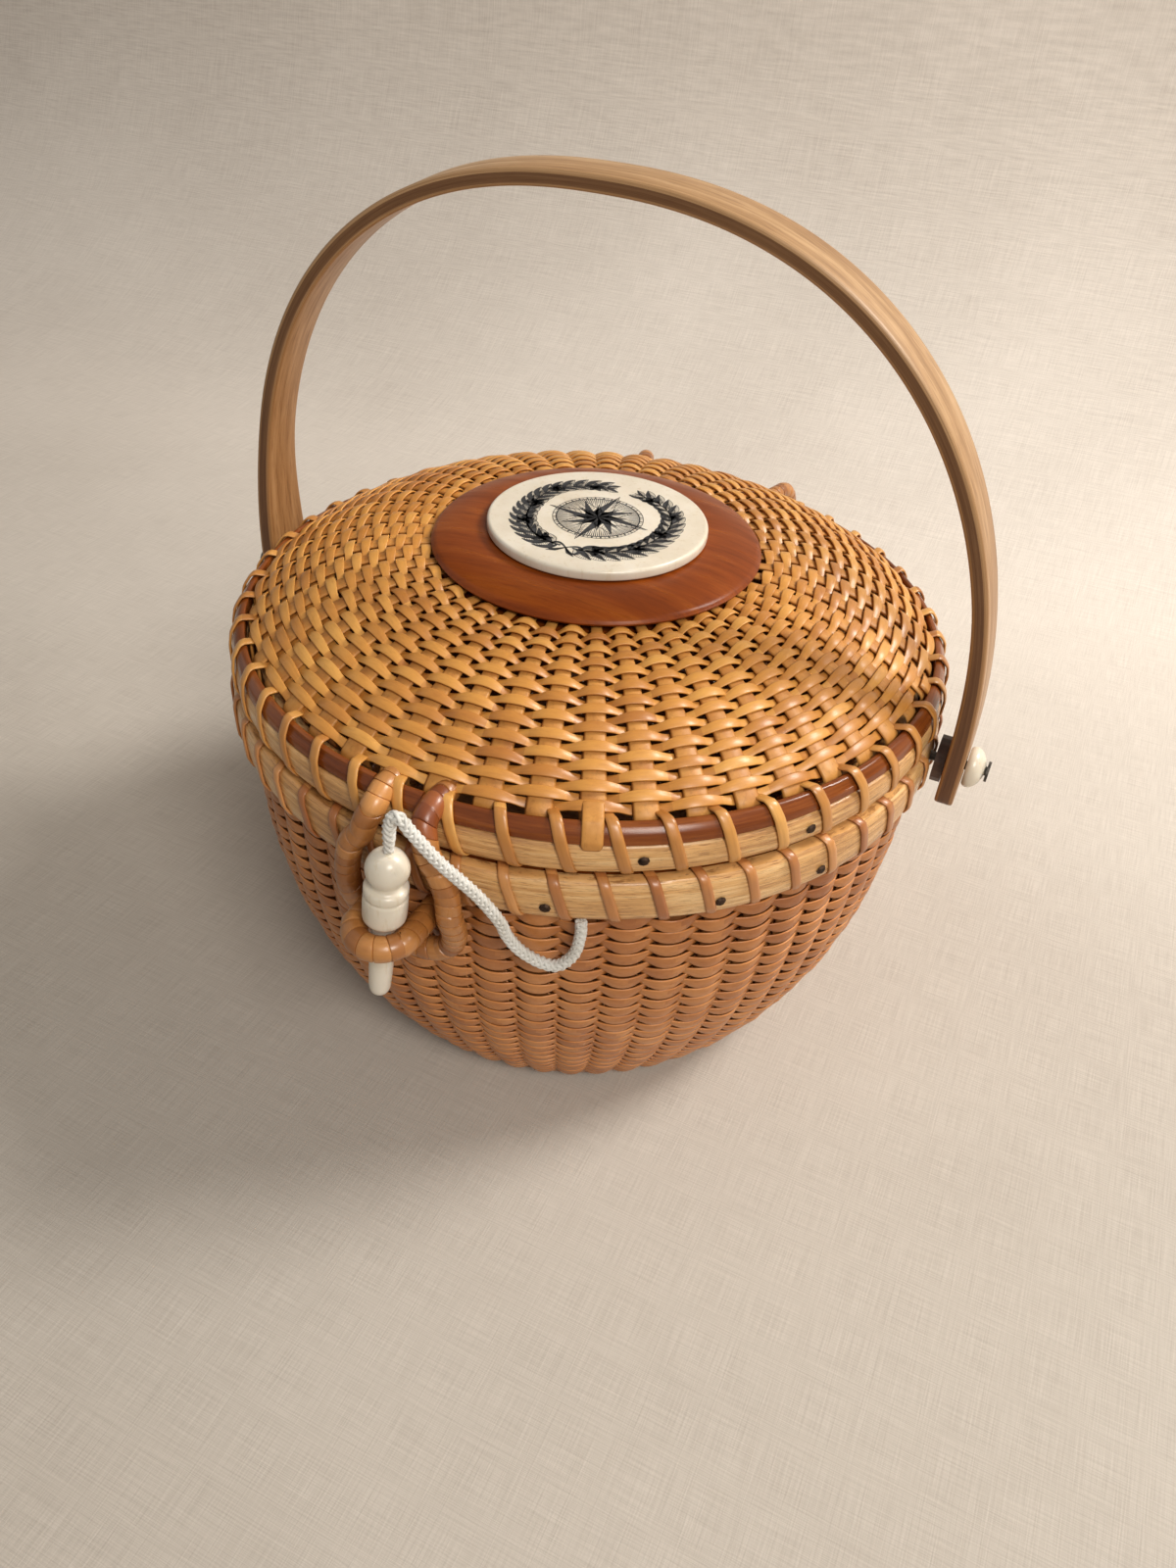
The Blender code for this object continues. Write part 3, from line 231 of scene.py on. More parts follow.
def bone_material():
    deep = {"Subsurface Weight": 0.15, "Subsurface Radius": (0.004, 0.003, 0.002)}
    look = Surface("polished_bone", 0.32, 0.2, 0.12, **deep)
    grain = look.noise(1.0, 3.0, stretch=(900, 900, 90))
    tones = [(0.35, (0.72, 0.64, 0.51)), (0.55, (0.8, 0.73, 0.61)), (0.75, (0.85, 0.79, 0.69))]
    colour = look.ramp(look.noise(60.0, 4.0), tones)
    colour = look.tint(colour, grain, [(0.32, (0.86, 0.8, 0.68)), (0.42, WHITE)], 0.5)
    return look.finish(colour, (grain, 0.08, 0.00008))


def metal_material(name, dark, pale, roughness):
    look = Surface(name, roughness, Metallic=1.0)
    worn = look.noise(700.0, 4.0)
    colour = look.ramp(worn, [(0.35, dark), (0.7, pale)])
    return look.finish(colour, (worn, 0.2, 0.0001), (worn, roughness - 0.1, roughness + 0.15))


def cord_material():
    look = Surface("white_braid", 0.38, **{"Sheen Weight": 0.3})
    fibres = look.noise(1.0, 4.0, kind="UV", stretch=(60, 9, 1))
    colour = look.ramp(look.noise(120.0, 3.0), [(0.3, (0.64, 0.61, 0.55)), (0.6, (0.78, 0.77, 0.73))])
    colour = look.tint(colour, fibres, [(0.3, (0.8, 0.79, 0.76)), (0.6, WHITE)], 0.6)
    return look.finish(colour, (fibres, 0.4, 0.0001))


def ink_material():
    look = Surface("engraved_ink", 0.6)
    tones = [(0.3, (0.012, 0.013, 0.016)), (0.8, (0.05, 0.052, 0.058))]
    return look.finish(look.ramp(look.noise(500.0, 3.0), tones))


def linen_material():
    look = Surface("pale_linen", 0.9)
    across = look.noise(1.0, 2.0, stretch=(60, 2600, 60))
    down = look.noise(1.0, 2.0, stretch=(2600, 60, 60))
    threads = look.total((across, 0.5), (down, 0.5))
    value = look.total((threads, 0.6), (look.noise(3.0, 4.0), 0.4))
    tones = [(0.35, (0.47, 0.415, 0.36)), (0.5, (0.58, 0.525, 0.46)), (0.65, (0.68, 0.62, 0.55))]
    # Painted light: the cloth is darkened towards the front as painted shade, and brightened towards the back
    # as painted light.
    painted_light_falloff = [(0.0, (0.66, 0.64, 0.62)), (0.45, (0.9, 0.9, 0.9)), (0.8, (1.3, 1.3, 1.32))]
    depth = look.remap(look.split()["Y"], -0.5, 0.5, 0.0, 1.0)
    return look.finish(look.tint(look.ramp(value, tones), depth, painted_light_falloff), (threads, 0.5, 0.0004))


ROUND, UPRIGHT = (38, 38, 900), (160, 160, 30)
BODY_CANE = cane_material("body_cane", (0.59, 0.25, 0.074), (0.465, 0.172, 0.042), (0.29, 0.088, 0.019), 3.2,
                          shares=(0.2, 0.44, 0.36), rim_shade_and_highlight=True)
LID_CANE = cane_material("lid_cane", (0.76, 0.38, 0.085), (0.64, 0.28, 0.052), (0.46, 0.17, 0.028), 2.4)
STAVE_WOOD = wood_material("stave_wood", (0.7, 0.34, 0.085), (0.57, 0.25, 0.052), (0.41, 0.15, 0.028),
                           UPRIGHT, 0.5, 0.05, 0.3, 0.2, 0.0001)
# Painted shade: the body's staves are much darker than the lid's, so that through the gaps of the weave they
# stand in for the dark inside of the basket.
BODY_STAVE_PAINTED_SHADE = wood_material("body_stave_painted_shade", (0.34, 0.14, 0.045), (0.25, 0.092, 0.026),
                                (0.16, 0.053, 0.013), UPRIGHT, 0.5, 0.05, 0.3, 0.2, 0.0001)
HOOP_WOOD = wood_material("pale_hoop_wood", (0.94, 0.64, 0.31), (0.72, 0.39, 0.135), (0.34, 0.13, 0.032),
                          ROUND, 0.34, 0.45, 0.9, 1.0, 0.0004)
STRIP_WOOD = wood_material("dark_edge_wood", (0.3, 0.086, 0.015), (0.2, 0.048, 0.008), (0.12, 0.025, 0.004),
                           (30, 30, 900), 0.2, 0.35, 0.4, 0.2, 0.0002, 0.16)
PLATE_WOOD = wood_material("red_brown_plate", (0.32, 0.078, 0.009), (0.225, 0.044, 0.004),
                           (0.13, 0.022, 0.002), (26, 240, 60), 0.3, 0.06, 0.35, 0.15, 0.0001, 0.16)
WALNUT = wood_material("dark_walnut", (0.1, 0.045, 0.02), (0.06, 0.026, 0.012), (0.03, 0.012, 0.006),
                       (90, 90, 500), 0.45, 0.1)
BASE_WOOD = wood_material("base_wood", (0.46, 0.23, 0.09), (0.35, 0.16, 0.06), (0.24, 0.1, 0.035),
                          (20, 260, 60), 0.4, 0.2)
BODY_LASHING = cane_material("body_lashing_cane", (0.66, 0.31, 0.1), (0.53, 0.22, 0.062),
                             (0.36, 0.12, 0.032), 3.0, 10.0, 0.35, 0.36, (0.45, 0.3, 0.25))
LID_LASHING = cane_material("lid_lashing_cane", (0.74, 0.38, 0.1), (0.61, 0.28, 0.062),
                            (0.43, 0.16, 0.032), 3.0, 10.0, 0.35, 0.36, (0.4, 0.32, 0.28))
WOUND = ((0.54, 0.24, 0.068), (0.41, 0.16, 0.038), (0.26, 0.085, 0.018), 1.2, 14.0, 0.35, 0.34)
WOUND_CANE = cane_material("wound_cane", *WOUND)
HANDLE_WOOD = handle_material()
BONE = bone_material()
PIN_METAL = metal_material("dark_pin_metal", (0.05, 0.045, 0.04), (0.16, 0.14, 0.12), 0.45)
NAIL_METAL = metal_material("old_nail_metal", (0.03, 0.02, 0.015), (0.1, 0.06, 0.04), 0.55)


# Sizes, the same as in the solids' source: heights first from the seam between body and lid

SEAM = 0.111
STRIP = 0.0007  # thickness of a lashing strip
GAP = 0.0003  # free space between two pieces
HOOP_R, HOOP_IN = 0.1012, 0.097
BODY_TOP = SEAM - GAP / 2 - STRIP - GAP
BODY_LOW = BODY_TOP - 0.0121
STAVE_R = HOOP_IN - GAP
STAVE_IN = STAVE_R - 0.0016
INNER_OUT = STAVE_IN - GAP
INNER_IN = INNER_OUT - 0.003
WALL_R = STAVE_R + 0.0013
LID_LOW = SEAM + GAP / 2 + STRIP + GAP
LID_R = 0.1
LID_IN = LID_R - 0.0042
LID_STAVE_R = LID_IN - GAP
LID_INNER_IN = LID_STAVE_R - 0.0049
LID_HOOP_TOP = LID_LOW + 0.008
LID_INNER_TOP = LID_LOW + 0.0078
STRIP_LOW = LID_HOOP_TOP + GAP
STRIP_TOP = STRIP_LOW + 0.0045
DOME_FOOT, DOME_RISE = STRIP_TOP + GAP, 0.0177
PLATE_R, PLATE_FALL = 0.0452, 0.0026
PLATE_LOW = DOME_FOOT + DOME_RISE + GAP
PLATE_TOP = PLATE_LOW + 0.0012 + PLATE_FALL
PLAQUE_R, PLAQUE_LOW = 0.03, PLATE_TOP + GAP
PLAQUE_TOP = PLAQUE_LOW + 0.0029
PIN_Z = SEAM - 0.0042
FOOT_Z = 0.004
BODY_STAVES, LID_STAVES = 55, 49
BODY_SHIFT, LID_SHIFT = 0.5, 0.65  # where the first lashing wrap lies, in staves
RING_Z, RING_HALF, PEG_Y = BODY_LOW - 0.0041, 0.00675, -0.1114
RING_BAND, HASP_BAND, HINGE_BAND = 0.0032, 0.0031, 0.0027
HASP_WRAP = 0.0029
HASP_HIGH = LID_HOOP_TOP + GAP + HASP_BAND
HINGE_HIGH = LID_HOOP_TOP + GAP + 0.0024 + HINGE_BAND
HINGE_TURN = radians(14.5)
PEG_TILT, HANDLE_TILT = radians(7.0), radians(2.7)
FRONT, BACK = -pi / 2, pi / 2
RADIUS, HEIGHT = 0, 1  # columns of a line's points
random_numbers = np.random.default_rng(7)


# Lines and points

def unit(ways):
    return ways / np.linalg.norm(ways, axis=-1, keepdims=True)


def left_of(ways):
    """Flat directions after a quarter turn."""
    return np.stack([-ways[..., 1], ways[..., 0]], -1)


def circle(turn):
    return np.stack([np.cos(turn), np.sin(turn)], -1)


def arc(centre, reach, start, end, steps):
    """Points on part of a circle, from one angle in degrees to another. A pair as reach makes it oval."""
    turn = np.radians(np.linspace(start, end, steps + 1))
    return [tuple(point) for point in centre + circle(turn) * reach]


def lengths(points):
    """How far along its line each point lies."""
    return np.concatenate([[0], np.cumsum(np.linalg.norm(np.diff(points, axis=0), axis=1))])


def read(where, at, table):
    """A table's rows at some places, between those that it has."""
    return np.stack([np.interp(where, at, column) for column in table.T], -1)


def in_space(radius, turn, height):
    return np.stack([radius * np.cos(turn), radius * np.sin(turn), height], -1)


def beside(base, sides, ups, turn, reach):
    """Points at some distance from a line, turned round it."""
    return base + sides * (np.cos(turn) * reach)[..., None] + ups * (np.sin(turn) * reach)[..., None]


class Line:
    """A smooth line in the (radius, height) plane, read by the length along it."""

    def __init__(self, points):
        self.points = np.array(points, float)
        self.at = lengths(self.points)
        self.length = self.at[-1]
        self.tangents = unit(np.gradient(self.points, self.at, axis=0))

    def place(self, s):
        return read(s, self.at, self.points)

    def along(self, s):
        return unit(read(s, self.at, self.tangents))

    def first_at(self, column, value):
        """The length at which the line first reaches a radius or a height."""
        table = self.points[:, column]
        sign = np.sign(table - value)
        place = int(np.argmax(sign != sign[0]))
        share = (value - table[place - 1]) / (table[place] - table[place - 1])
        return self.at[place - 1] + share * (self.at[place] - self.at[place - 1])


def wall_radius(z):
    fall = np.clip((BODY_LOW - np.asarray(z)) / (BODY_LOW - FOOT_Z), 0, None)
    return WALL_R - 0.0252 * fall**2.6


def dome_height(radius):
    inward = np.clip((LID_STAVE_R - np.asarray(radius)) / (LID_STAVE_R - PLATE_R), 0, 1)
    return DOME_FOOT + DOME_RISE * (1 - (1 - inward) ** 2.1)


def body_line():
    """The middle of the body's weave, from inside the rim down and in under the base."""
    depth, in_rim, bend, foot = 0.0017, STAVE_R - 0.0008, 0.0022, FOOT_Z + 0.001
    heights = np.linspace(BODY_TOP - 0.002, foot, 90)
    below = np.where(heights > BODY_LOW - 0.001, in_rim, wall_radius(heights) - depth)
    radii = in_rim + (below - in_rim) * np.clip((BODY_LOW - heights) / 0.006, 0, 1)
    points = list(zip(radii, heights))
    last = radii[-1] - 0.0008
    for turn in np.radians([25, 45, 65, 85]):
        points.append((last - bend * (1 - cos(turn)), foot - bend * sin(turn)))
    return Line(points + [(0.0655, 0.0028)])


def lid_line():
    """The middle of the lid's weave, from the rim up to under the plate."""
    depth, in_rim, small = 0.0013, LID_STAVE_R - 0.0008, 1e-5
    points = [(in_rim, LID_LOW + 0.002), (in_rim, DOME_FOOT - 0.003)]
    for radius in np.linspace(LID_STAVE_R, PLATE_R, 60):
        height = float(dome_height(radius))
        slope = atan2(float(dome_height(radius - small) - dome_height(radius)), small)
        points.append((radius - depth * sin(slope), height - depth * cos(slope)))
    return Line(points + [(PLATE_R - 0.0045, points[-1][1] + 0.0001)])


def on_wall(line, s, turn, out):
    """Points on a wall of revolution: s along its line, turned round Z, and out along its normal."""
    place = line.place(s)
    normal = left_of(line.along(s))
    out = np.where(normal[..., 0] * place[..., 0] + normal[..., 1] * 1e-3 < 0, -out, out)
    return in_space(place[..., 0] + normal[..., 0] * out, turn, place[..., 1] + normal[..., 1] * out)


def round_section(sides, width, height, power=2.0):
    """Points once round a rounded strip, (across, out), closed."""
    both = circle(np.linspace(0, tau, sides + 1))
    return np.sign(both) * np.abs(both) ** (2 / power) * (width, height) / 2


# Makers of meshes

def clear_selection():
    if bpy.context.object and bpy.context.object.mode != "OBJECT":
        bpy.ops.object.mode_set(mode="OBJECT")
    bpy.ops.object.select_all(action="DESELECT")


def skin(name, places, closed=False, counts=1, first=0.0, sharp=180):
    """A grid laid over places[i, j]: i runs along the piece, and j once round it. Its map counts along it.

    A piece that isn't closed gets caps. Edges beyond sharp, in degrees, stay hard.
    """
    along, around = places.shape[0] - 1, places.shape[1] - 1
    clear_selection()
    bpy.ops.mesh.primitive_grid_add(x_subdivisions=along, y_subdivisions=around, size=1, calc_uvs=True)
    piece = bpy.context.object
    piece.name = piece.data.name = name
    flat = np.empty(len(piece.data.vertices) * 3)
    piece.data.vertices.foreach_get("co", flat)
    flat = flat.reshape(-1, 3) + 0.5
    i = np.rint(flat[:, 0] * along).astype(int)
    j = np.rint(flat[:, 1] * around).astype(int)
    piece.data.vertices.foreach_set("co", places[i, j].ravel())
    table = piece.data.uv_layers[0].data
    flat = np.empty(len(table) * 2)
    table.foreach_get("uv", flat)
    flat[::2] = flat[::2] * counts + first
    table.foreach_set("uv", flat)
    piece.data.update()
    bpy.ops.object.mode_set(mode="EDIT")
    bpy.ops.mesh.select_all(action="SELECT")
    bpy.ops.mesh.remove_doubles(threshold=1e-6)
    if not closed:
        bpy.ops.mesh.select_all(action="DESELECT")
        bpy.ops.mesh.select_non_manifold()
        bpy.ops.mesh.fill_holes(sides=0)
    bpy.ops.mesh.select_all(action="SELECT")
    bpy.ops.mesh.normals_make_consistent(inside=False)
    bpy.ops.object.mode_set(mode="OBJECT")
    bpy.ops.object.shade_smooth_by_angle(angle=radians(sharp))
    return piece


def turned(name, profile, steps=160, sharp=35):
    """A piece turned on the Z axis from a profile of (radius, height)."""
    radius, height = np.array(profile, float).T[:, :, None]
    turn = np.linspace(0, tau, steps + 1)
    return skin(name, in_space(radius, turn, height + 0 * turn), closed=True, sharp=sharp)


def settle(piece, matrix):
    piece.data.transform(matrix)
    piece.data.update()
    return piece


def lean(place, angle, axis):
    """The matrix that turns a piece about an axis at the origin, then carries it to its place."""
    return Matrix.Translation(place) @ Matrix.Rotation(angle, 4, axis)


def dress(piece, material, slot, body=None, *replaced):
    piece.data.materials.clear()
    piece.data.materials.append(material)
    if body:
        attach(piece, body)
    if replaced:
        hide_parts(*replaced)


def join(name, pieces):
    clear_selection()
    for piece in pieces:
        piece.select_set(True)
    bpy.context.view_layer.objects.active = pieces[0]
    bpy.ops.object.join()
    made = bpy.context.object
    made.name = made.data.name = name
    return made


# Woven walls

CANE_SECTION = np.array([
    (0.5, 0.0), (0.47, 0.34), (0.4, 0.46), (0.0, 0.56), (-0.4, 0.46), (-0.47, 0.34), (-0.5, 0.0),
    (-0.44, -0.46), (0.44, -0.46), (0.5, 0.0),
])


def weaver(name, line, s_first, s_last, pitch, count, shift, first_row, width, cross, thick, swing, arch,
           steps, bow):
    """One long strip of cane that spirals round, over and under the staves by turns.

    Width is at a stave and cross between two, swing how far it goes in and out, arch how flat its bumps
    are, and bow how far they sag.
    """
    rows = int(round(abs(s_last - s_first) / pitch))
    t = np.arange(rows * count * steps + 1) / (count * steps)
    turn = tau * t
    wave = np.cos(pi * (count * (t + first_row) - shift))
    shape = np.tanh(arch * wave) / tanh(arch)
    bumps = rows * count + 3
    lower, wide, lift = (random_numbers.normal(0, spread, bumps) for spread in (0.055, 0.05, 0.06))
    at = np.rint(count * t - shift).astype(int) + 1
    soft = np.abs(wave)
    drift = 0.1 * np.sin(2 * turn + 0.21 * t) + 0.07 * np.sin(5 * turn + 1.3 + 0.37 * t)
    s = s_first + copysign(pitch, s_last - s_first) * (t + drift + lower[at] * soft) + bow * wave
    out = swing * shape * (1 + lift[at] * soft)
    wid = cross + (width - cross) * np.abs(shape) ** 0.8 * (1 + wide[at])
    across = CANE_SECTION[:, 0] * wid[:, None]
    out = out[:, None] + CANE_SECTION[:, 1] * thick
    places = on_wall(line, s[:, None] + across, turn[:, None], out)
    return skin(name, places, counts=rows * count, first=0.5 - shift)


def staves(name, line, count, shift, share, thick, steps=50):
    """Flat uprights under the weave, all alike. Each is as wide as a share of its distance from the axis."""
    s = np.linspace(0, line.length, steps + 1)[:, None] + np.zeros(9)
    section = round_section(8, share, thick, 3.0)
    first = skin(name, on_wall(line, s, section[:, 0] + 0 * s, section[:, 1] + 0 * s))
    made = [first]
    for number in range(1, count):
        copied = bpy.data.objects.new(name, first.data.copy())
        scene.collection.objects.link(copied)
        copied.data.transform(Matrix.Rotation(tau * number / count, 4, "Z"))
        made.append(copied)
    return settle(join(name, made), Matrix.Rotation(tau * shift / count, 4, "Z"))


def make_weave(part, halves, body, woven, line, first, last, pitch, count, shift, cane, wood, stave, **strip):
    """A wall in two halves, each one strip of cane, and its staves. Stave is a share and a thickness."""
    rows = round((last - first) / 2 / pitch)
    half = first + rows * pitch
    for name, start, end, row in ((halves[0], first, half, 0), (halves[1], half, last, rows)):
        made = weaver(part + "_weaver_" + name, line, start, end, pitch, count, shift, row, **strip)
        dress(made, cane, part + "_cane", body, *([woven] if row == 0 else []))
    dress(staves(part + "_staves", line, count, shift, *stave), wood, part + "_cane", body)


def make_woven_walls():
    line = body_line()
    make_weave("body", ("upper", "lower"), "basket", "basket_wall", line,
               line.first_at(HEIGHT, BODY_LOW - 0.0014), line.length - 0.0042, 0.00215, BODY_STAVES, 0.0,
               BODY_CANE, BODY_STAVE_PAINTED_SHADE, (0.07, 0.0009),
               width=0.0039, cross=0.002, thick=0.0007, swing=0.00145, arch=0.8, steps=8, bow=0.00055)
    line = lid_line()
    first, last = line.first_at(RADIUS, LID_STAVE_R - 0.0013), line.first_at(RADIUS, PLATE_R + 0.0004)
    make_weave("lid", ("outer", "inner"), "lid", "lid_weave", line, first, last, (last - first) / 22,
               LID_STAVES, LID_SHIFT - 0.5, LID_CANE, STAVE_WOOD, (0.066, 0.001),
               width=0.0028, cross=0.0019, thick=0.00058, swing=0.00125, arch=1.0, steps=10, bow=0.00032)


make_woven_walls()


# Rims

def eased(points, radius, steps):
    """A closed outline with its corners rounded."""
    points = [Vector((*p, 0)) for p in points]
    made = []
    for place, corner in enumerate(points):
        before, after = points[place - 1] - corner, points[(place + 1) % len(points)] - corner
        reach = min(radius, before.length / 2.05, after.length / 2.05)
        start = corner + before.normalized() * reach
        end = corner + after.normalized() * reach
        for step in range(steps + 1):
            t = step / steps
            point = start * (1 - t) ** 2 + corner * 2 * t * (1 - t) + end * t * t
            made.append((point.x, point.y))
    return made


def half_round(inner, outer, low, high):
    """A hoop's section: flat inside and rounded outside."""
    made = [(inner, low + 0.0002), (inner, high - 0.0002)]
    for c, s in arc((0, 0), 1, 90, -90, 12):
        radius = inner + (outer - inner) * (0.42 + 0.58 * max(c, 0) ** 0.55)
        made.append((radius, (high + low) / 2 + (high - low) / 2 * copysign(abs(s) ** 0.9, s)))
    return made


def hoop(name, section, seed, wobble=0.00018, columns=220, ends=None, dips=()):
    """A bent hoop: its section swept round, a little uneven as split wood is, with dips cut in its top."""
    section = np.array(section + [section[0]])
    turn = np.linspace(*(ends or (0, tau)), columns + 1)
    waves = np.zeros(columns + 1)
    rng = np.random.default_rng(seed)
    for count in (3, 5, 8, 13, 21):
        waves += rng.normal(0, 1) * np.cos(count * turn + rng.uniform(0, tau)) / count**0.5
    waves = waves[:, None] * wobble / 2
    middle = section.mean(0)
    radius = section[:, 0] + (section[:, 0] > middle[0]) * waves
    height = section[:, 1] + waves * np.sign(section[:, 1] - middle[1]) * 0.6
    for at, reach, floor in dips:
        away = np.abs(np.remainder(turn - at + pi, tau) - pi)
        ceiling = floor + np.clip((away - reach) / 0.012, 0, 1) * 0.01
        height = np.minimum(height, ceiling[:, None] - 0.0002 * (section[:, 1] < middle[1]))
    return skin(name, in_space(radius, turn[:, None], height), closed=ends is None, sharp=38)


def lashing(name, wraps, shift, outline, outside, slant, width):
    """Cane wound round a rim. Outline is the path of one turn, (radius, height), outside first.

    Outside is the part of a turn that shows, and slant the part of the step to the next turn made there.
    """
    thick, per_turn = 0.0008, 40
    path = np.array(outline + [outline[0]])
    at = lengths(path)
    share = np.arange(wraps * per_turn + 1) / per_turn
    part = share % 1.0
    place = read(part * at[-1], at, path)
    ahead, behind = (read(((share + step) % 1.0) * at[-1], at, path) for step in (0.01, -0.01))
    normal = left_of(unit(ahead - behind))
    step_on = np.where(part < outside, slant * (part / outside - 0.5),
                       slant * 0.5 + (1 - slant) * (part - outside) / (1 - outside))
    turn = tau * (np.floor(share) + shift + step_on) / wraps
    section = round_section(10, width, thick, 2.6)
    around = turn[:, None] + section[:, 0] / place[:, :1]
    radius = place[:, :1] + normal[:, :1] * section[:, 1]
    height = place[:, 1:] + normal[:, 1:] * section[:, 1]
    return skin(name, in_space(radius, around, height), counts=wraps)


def make_body_rim():
    section = half_round(HOOP_IN, HOOP_R, BODY_LOW, BODY_TOP)
    dress(hoop("body_hoop", section, 3), HOOP_WOOD, "hoop_wood", "basket", "basket_outer_hoop")
    section = half_round(INNER_OUT, INNER_IN, BODY_TOP - 0.0115, BODY_TOP)
    dress(hoop("body_inside_hoop", section, 4), HOOP_WOOD, "hoop_wood", "basket", "basket_inner_hoop")
    out, low, top = HOOP_R + 0.0004, BODY_LOW - 0.0005, BODY_TOP + 0.0006
    inside = INNER_IN - 0.0005
    outline = [
        (HOOP_R - 0.0022, top), (out - 0.0007, top - 0.0008), (out, top - 0.003), (out, low + 0.0032),
        (out - 0.001, low + 0.0009), (HOOP_R - 0.0028, low), (INNER_OUT, low - 0.0001),
        (inside + 0.0012, low + 0.0004), (inside, low + 0.0022), (inside, top - 0.0022),
        (inside + 0.001, top - 0.0004), (INNER_OUT - 0.0006, top),
    ]
    wound = lashing("body_lashing", BODY_STAVES, BODY_SHIFT, outline, 0.36, 0.36, 0.0027)
    dress(wound, BODY_LASHING, "lashing_cane", "basket", "basket_lashing")


def make_lid_rim():
    section = half_round(LID_IN, LID_R, LID_LOW, LID_HOOP_TOP + 0.0001)
    dress(hoop("lid_hoop", section, 5), HOOP_WOOD, "hoop_wood", "lid", "lid_outer_hoop")
    section = eased([
        (LID_IN, STRIP_LOW), (LID_IN + 0.0036, STRIP_LOW), (LID_IN + 0.0031, STRIP_LOW + 0.0022),
        (LID_IN + 0.0014, STRIP_TOP - 0.0001), (LID_IN, STRIP_TOP),
    ], 0.0006, 3)
    notch, island = (asin(half / (LID_IN + 0.002)) for half in (0.01, 0.0031))
    grooves = [
        (BACK + side * HINGE_TURN, 0.0031 / LID_IN, HINGE_HIGH - HINGE_BAND - GAP) for side in (-1, 1)
    ]
    ends = (FRONT + notch, FRONT + tau - notch)
    strips = [hoop("lid_dark_strip", section, 6, 0.0003, 360, ends, grooves),
              hoop("lid_dark_strip_middle", section, 6, 0.0001, 6, (FRONT - island, FRONT + island))]
    dress(join("lid_dark_strip", strips), STRIP_WOOD, "strip_wood", "lid", "lid_edge_strip")
    section = half_round(LID_STAVE_R - 0.0019, LID_INNER_IN, LID_LOW, LID_INNER_TOP)
    dress(hoop("lid_inside_hoop", section, 7), HOOP_WOOD, "hoop_wood", "lid", "lid_inner_hoop")
    out, low, top = LID_R + 0.0004, LID_LOW - 0.0006, STRIP_TOP + 0.0008
    inside = LID_STAVE_R - 0.0054
    outline = [
        (LID_IN + 0.0006, top), (LID_IN + 0.0019, top - 0.0004), (LID_IN + 0.0039, STRIP_LOW + 0.002),
        (out, LID_HOOP_TOP - 0.0012), (out, low + 0.003), (out - 0.001, low + 0.0008),
        (LID_R - 0.0026, low), (LID_STAVE_R - 0.0034, low), (inside + 0.001, low + 0.0004),
        (inside, low + 0.002), (inside, LID_INNER_TOP - 0.0008), (inside + 0.0012, LID_INNER_TOP + 0.0008),
        (LID_STAVE_R - 0.003, top - 0.001),
    ]
    wound = lashing("lid_lashing_strip", LID_STAVES, LID_SHIFT, outline, 0.38, 0.34, 0.003)
    dress(wound, LID_LASHING, "lashing_cane", "lid", "lid_lashing")


def make_lapped_end():
    """The one stave that is carried on over the dark strip and down on to the hoop."""
    turn = tau * (LID_SHIFT - 0.5 - 9) / LID_STAVES
    line = Line([
        (LID_STAVE_R - 0.003, DOME_FOOT + 0.0021), (LID_STAVE_R - 0.0006, STRIP_TOP + 0.0013),
        (LID_IN + 0.0016, STRIP_TOP + 0.0006), (LID_IN + 0.0031, STRIP_LOW + 0.003),
        (LID_IN + 0.0041, STRIP_LOW + 0.0009), (LID_R - 0.0001, LID_HOOP_TOP - 0.0009),
    ])
    s = np.linspace(0, line.length, 25)[:, None]
    taper = np.clip((line.length - s) / 0.0016, 0, 1) ** 0.5
    section = round_section(10, 0.005, 0.0006, 3.0)
    across = section[:, 0] * (0.72 + 0.28 * taper)
    out = section[:, 1] * (0.3 + 0.7 * taper)
    places = on_wall(line, s + 0 * across, turn + across / line.place(s[:, 0])[:, :1], out)
    dress(skin("lapped_stave_end", places), STAVE_WOOD, "lid_cane", "lid")


make_body_rim()
make_lid_rim()
make_lapped_end()


# Base, lid plate and plaque

def make_base():
    edge, groove = 0.0677, 0.0641
    profile = [
        (0, 0.01), (edge - 0.0017, 0.01), (edge - 0.0005, 0.0096), (edge, 0.0086), (edge, 0.0043),
        (groove, 0.0043), (groove, 0.0013), (0.0694, 0.0013), (0.0699, 0.0008), (0.0695, 0.0002), (0.0688, 0),
        (0, 0),
    ]
    dress(turned("base_disc", profile), BASE_WOOD, "base_wood", "basket", "basket_base")


def make_plate():
    """A disc with a soft edge on top, and a smaller one below the dome's edge."""
    groove, under = PLATE_R - 0.0055, PLATE_R - 0.0023
    low = PLATE_LOW - 0.0028
    shares = np.arange(1, 15) / 15
    profile = [(0, PLATE_TOP)]
    profile += zip(PLATE_R * (0.7 + 0.3 * shares), PLATE_TOP - PLATE_FALL * shares**2.2)
    edge = profile[-1][1]
    profile += [
        (PLATE_R - 0.0006, edge - 0.0004), (PLATE_R - 0.0001, edge - 0.0009),
        (PLATE_R - 0.0001, PLATE_LOW + 0.0006), (PLATE_R - 0.0005, PLATE_LOW), (groove, PLATE_LOW),
        (groove, low), (under, low), (under, low - 0.0027), (under - 0.0004, low - 0.003), (0, low - 0.003),
    ]
    dress(turned("lid_plate_wood", profile, 192), PLATE_WOOD, "plate_wood", "lid", "lid_plate")


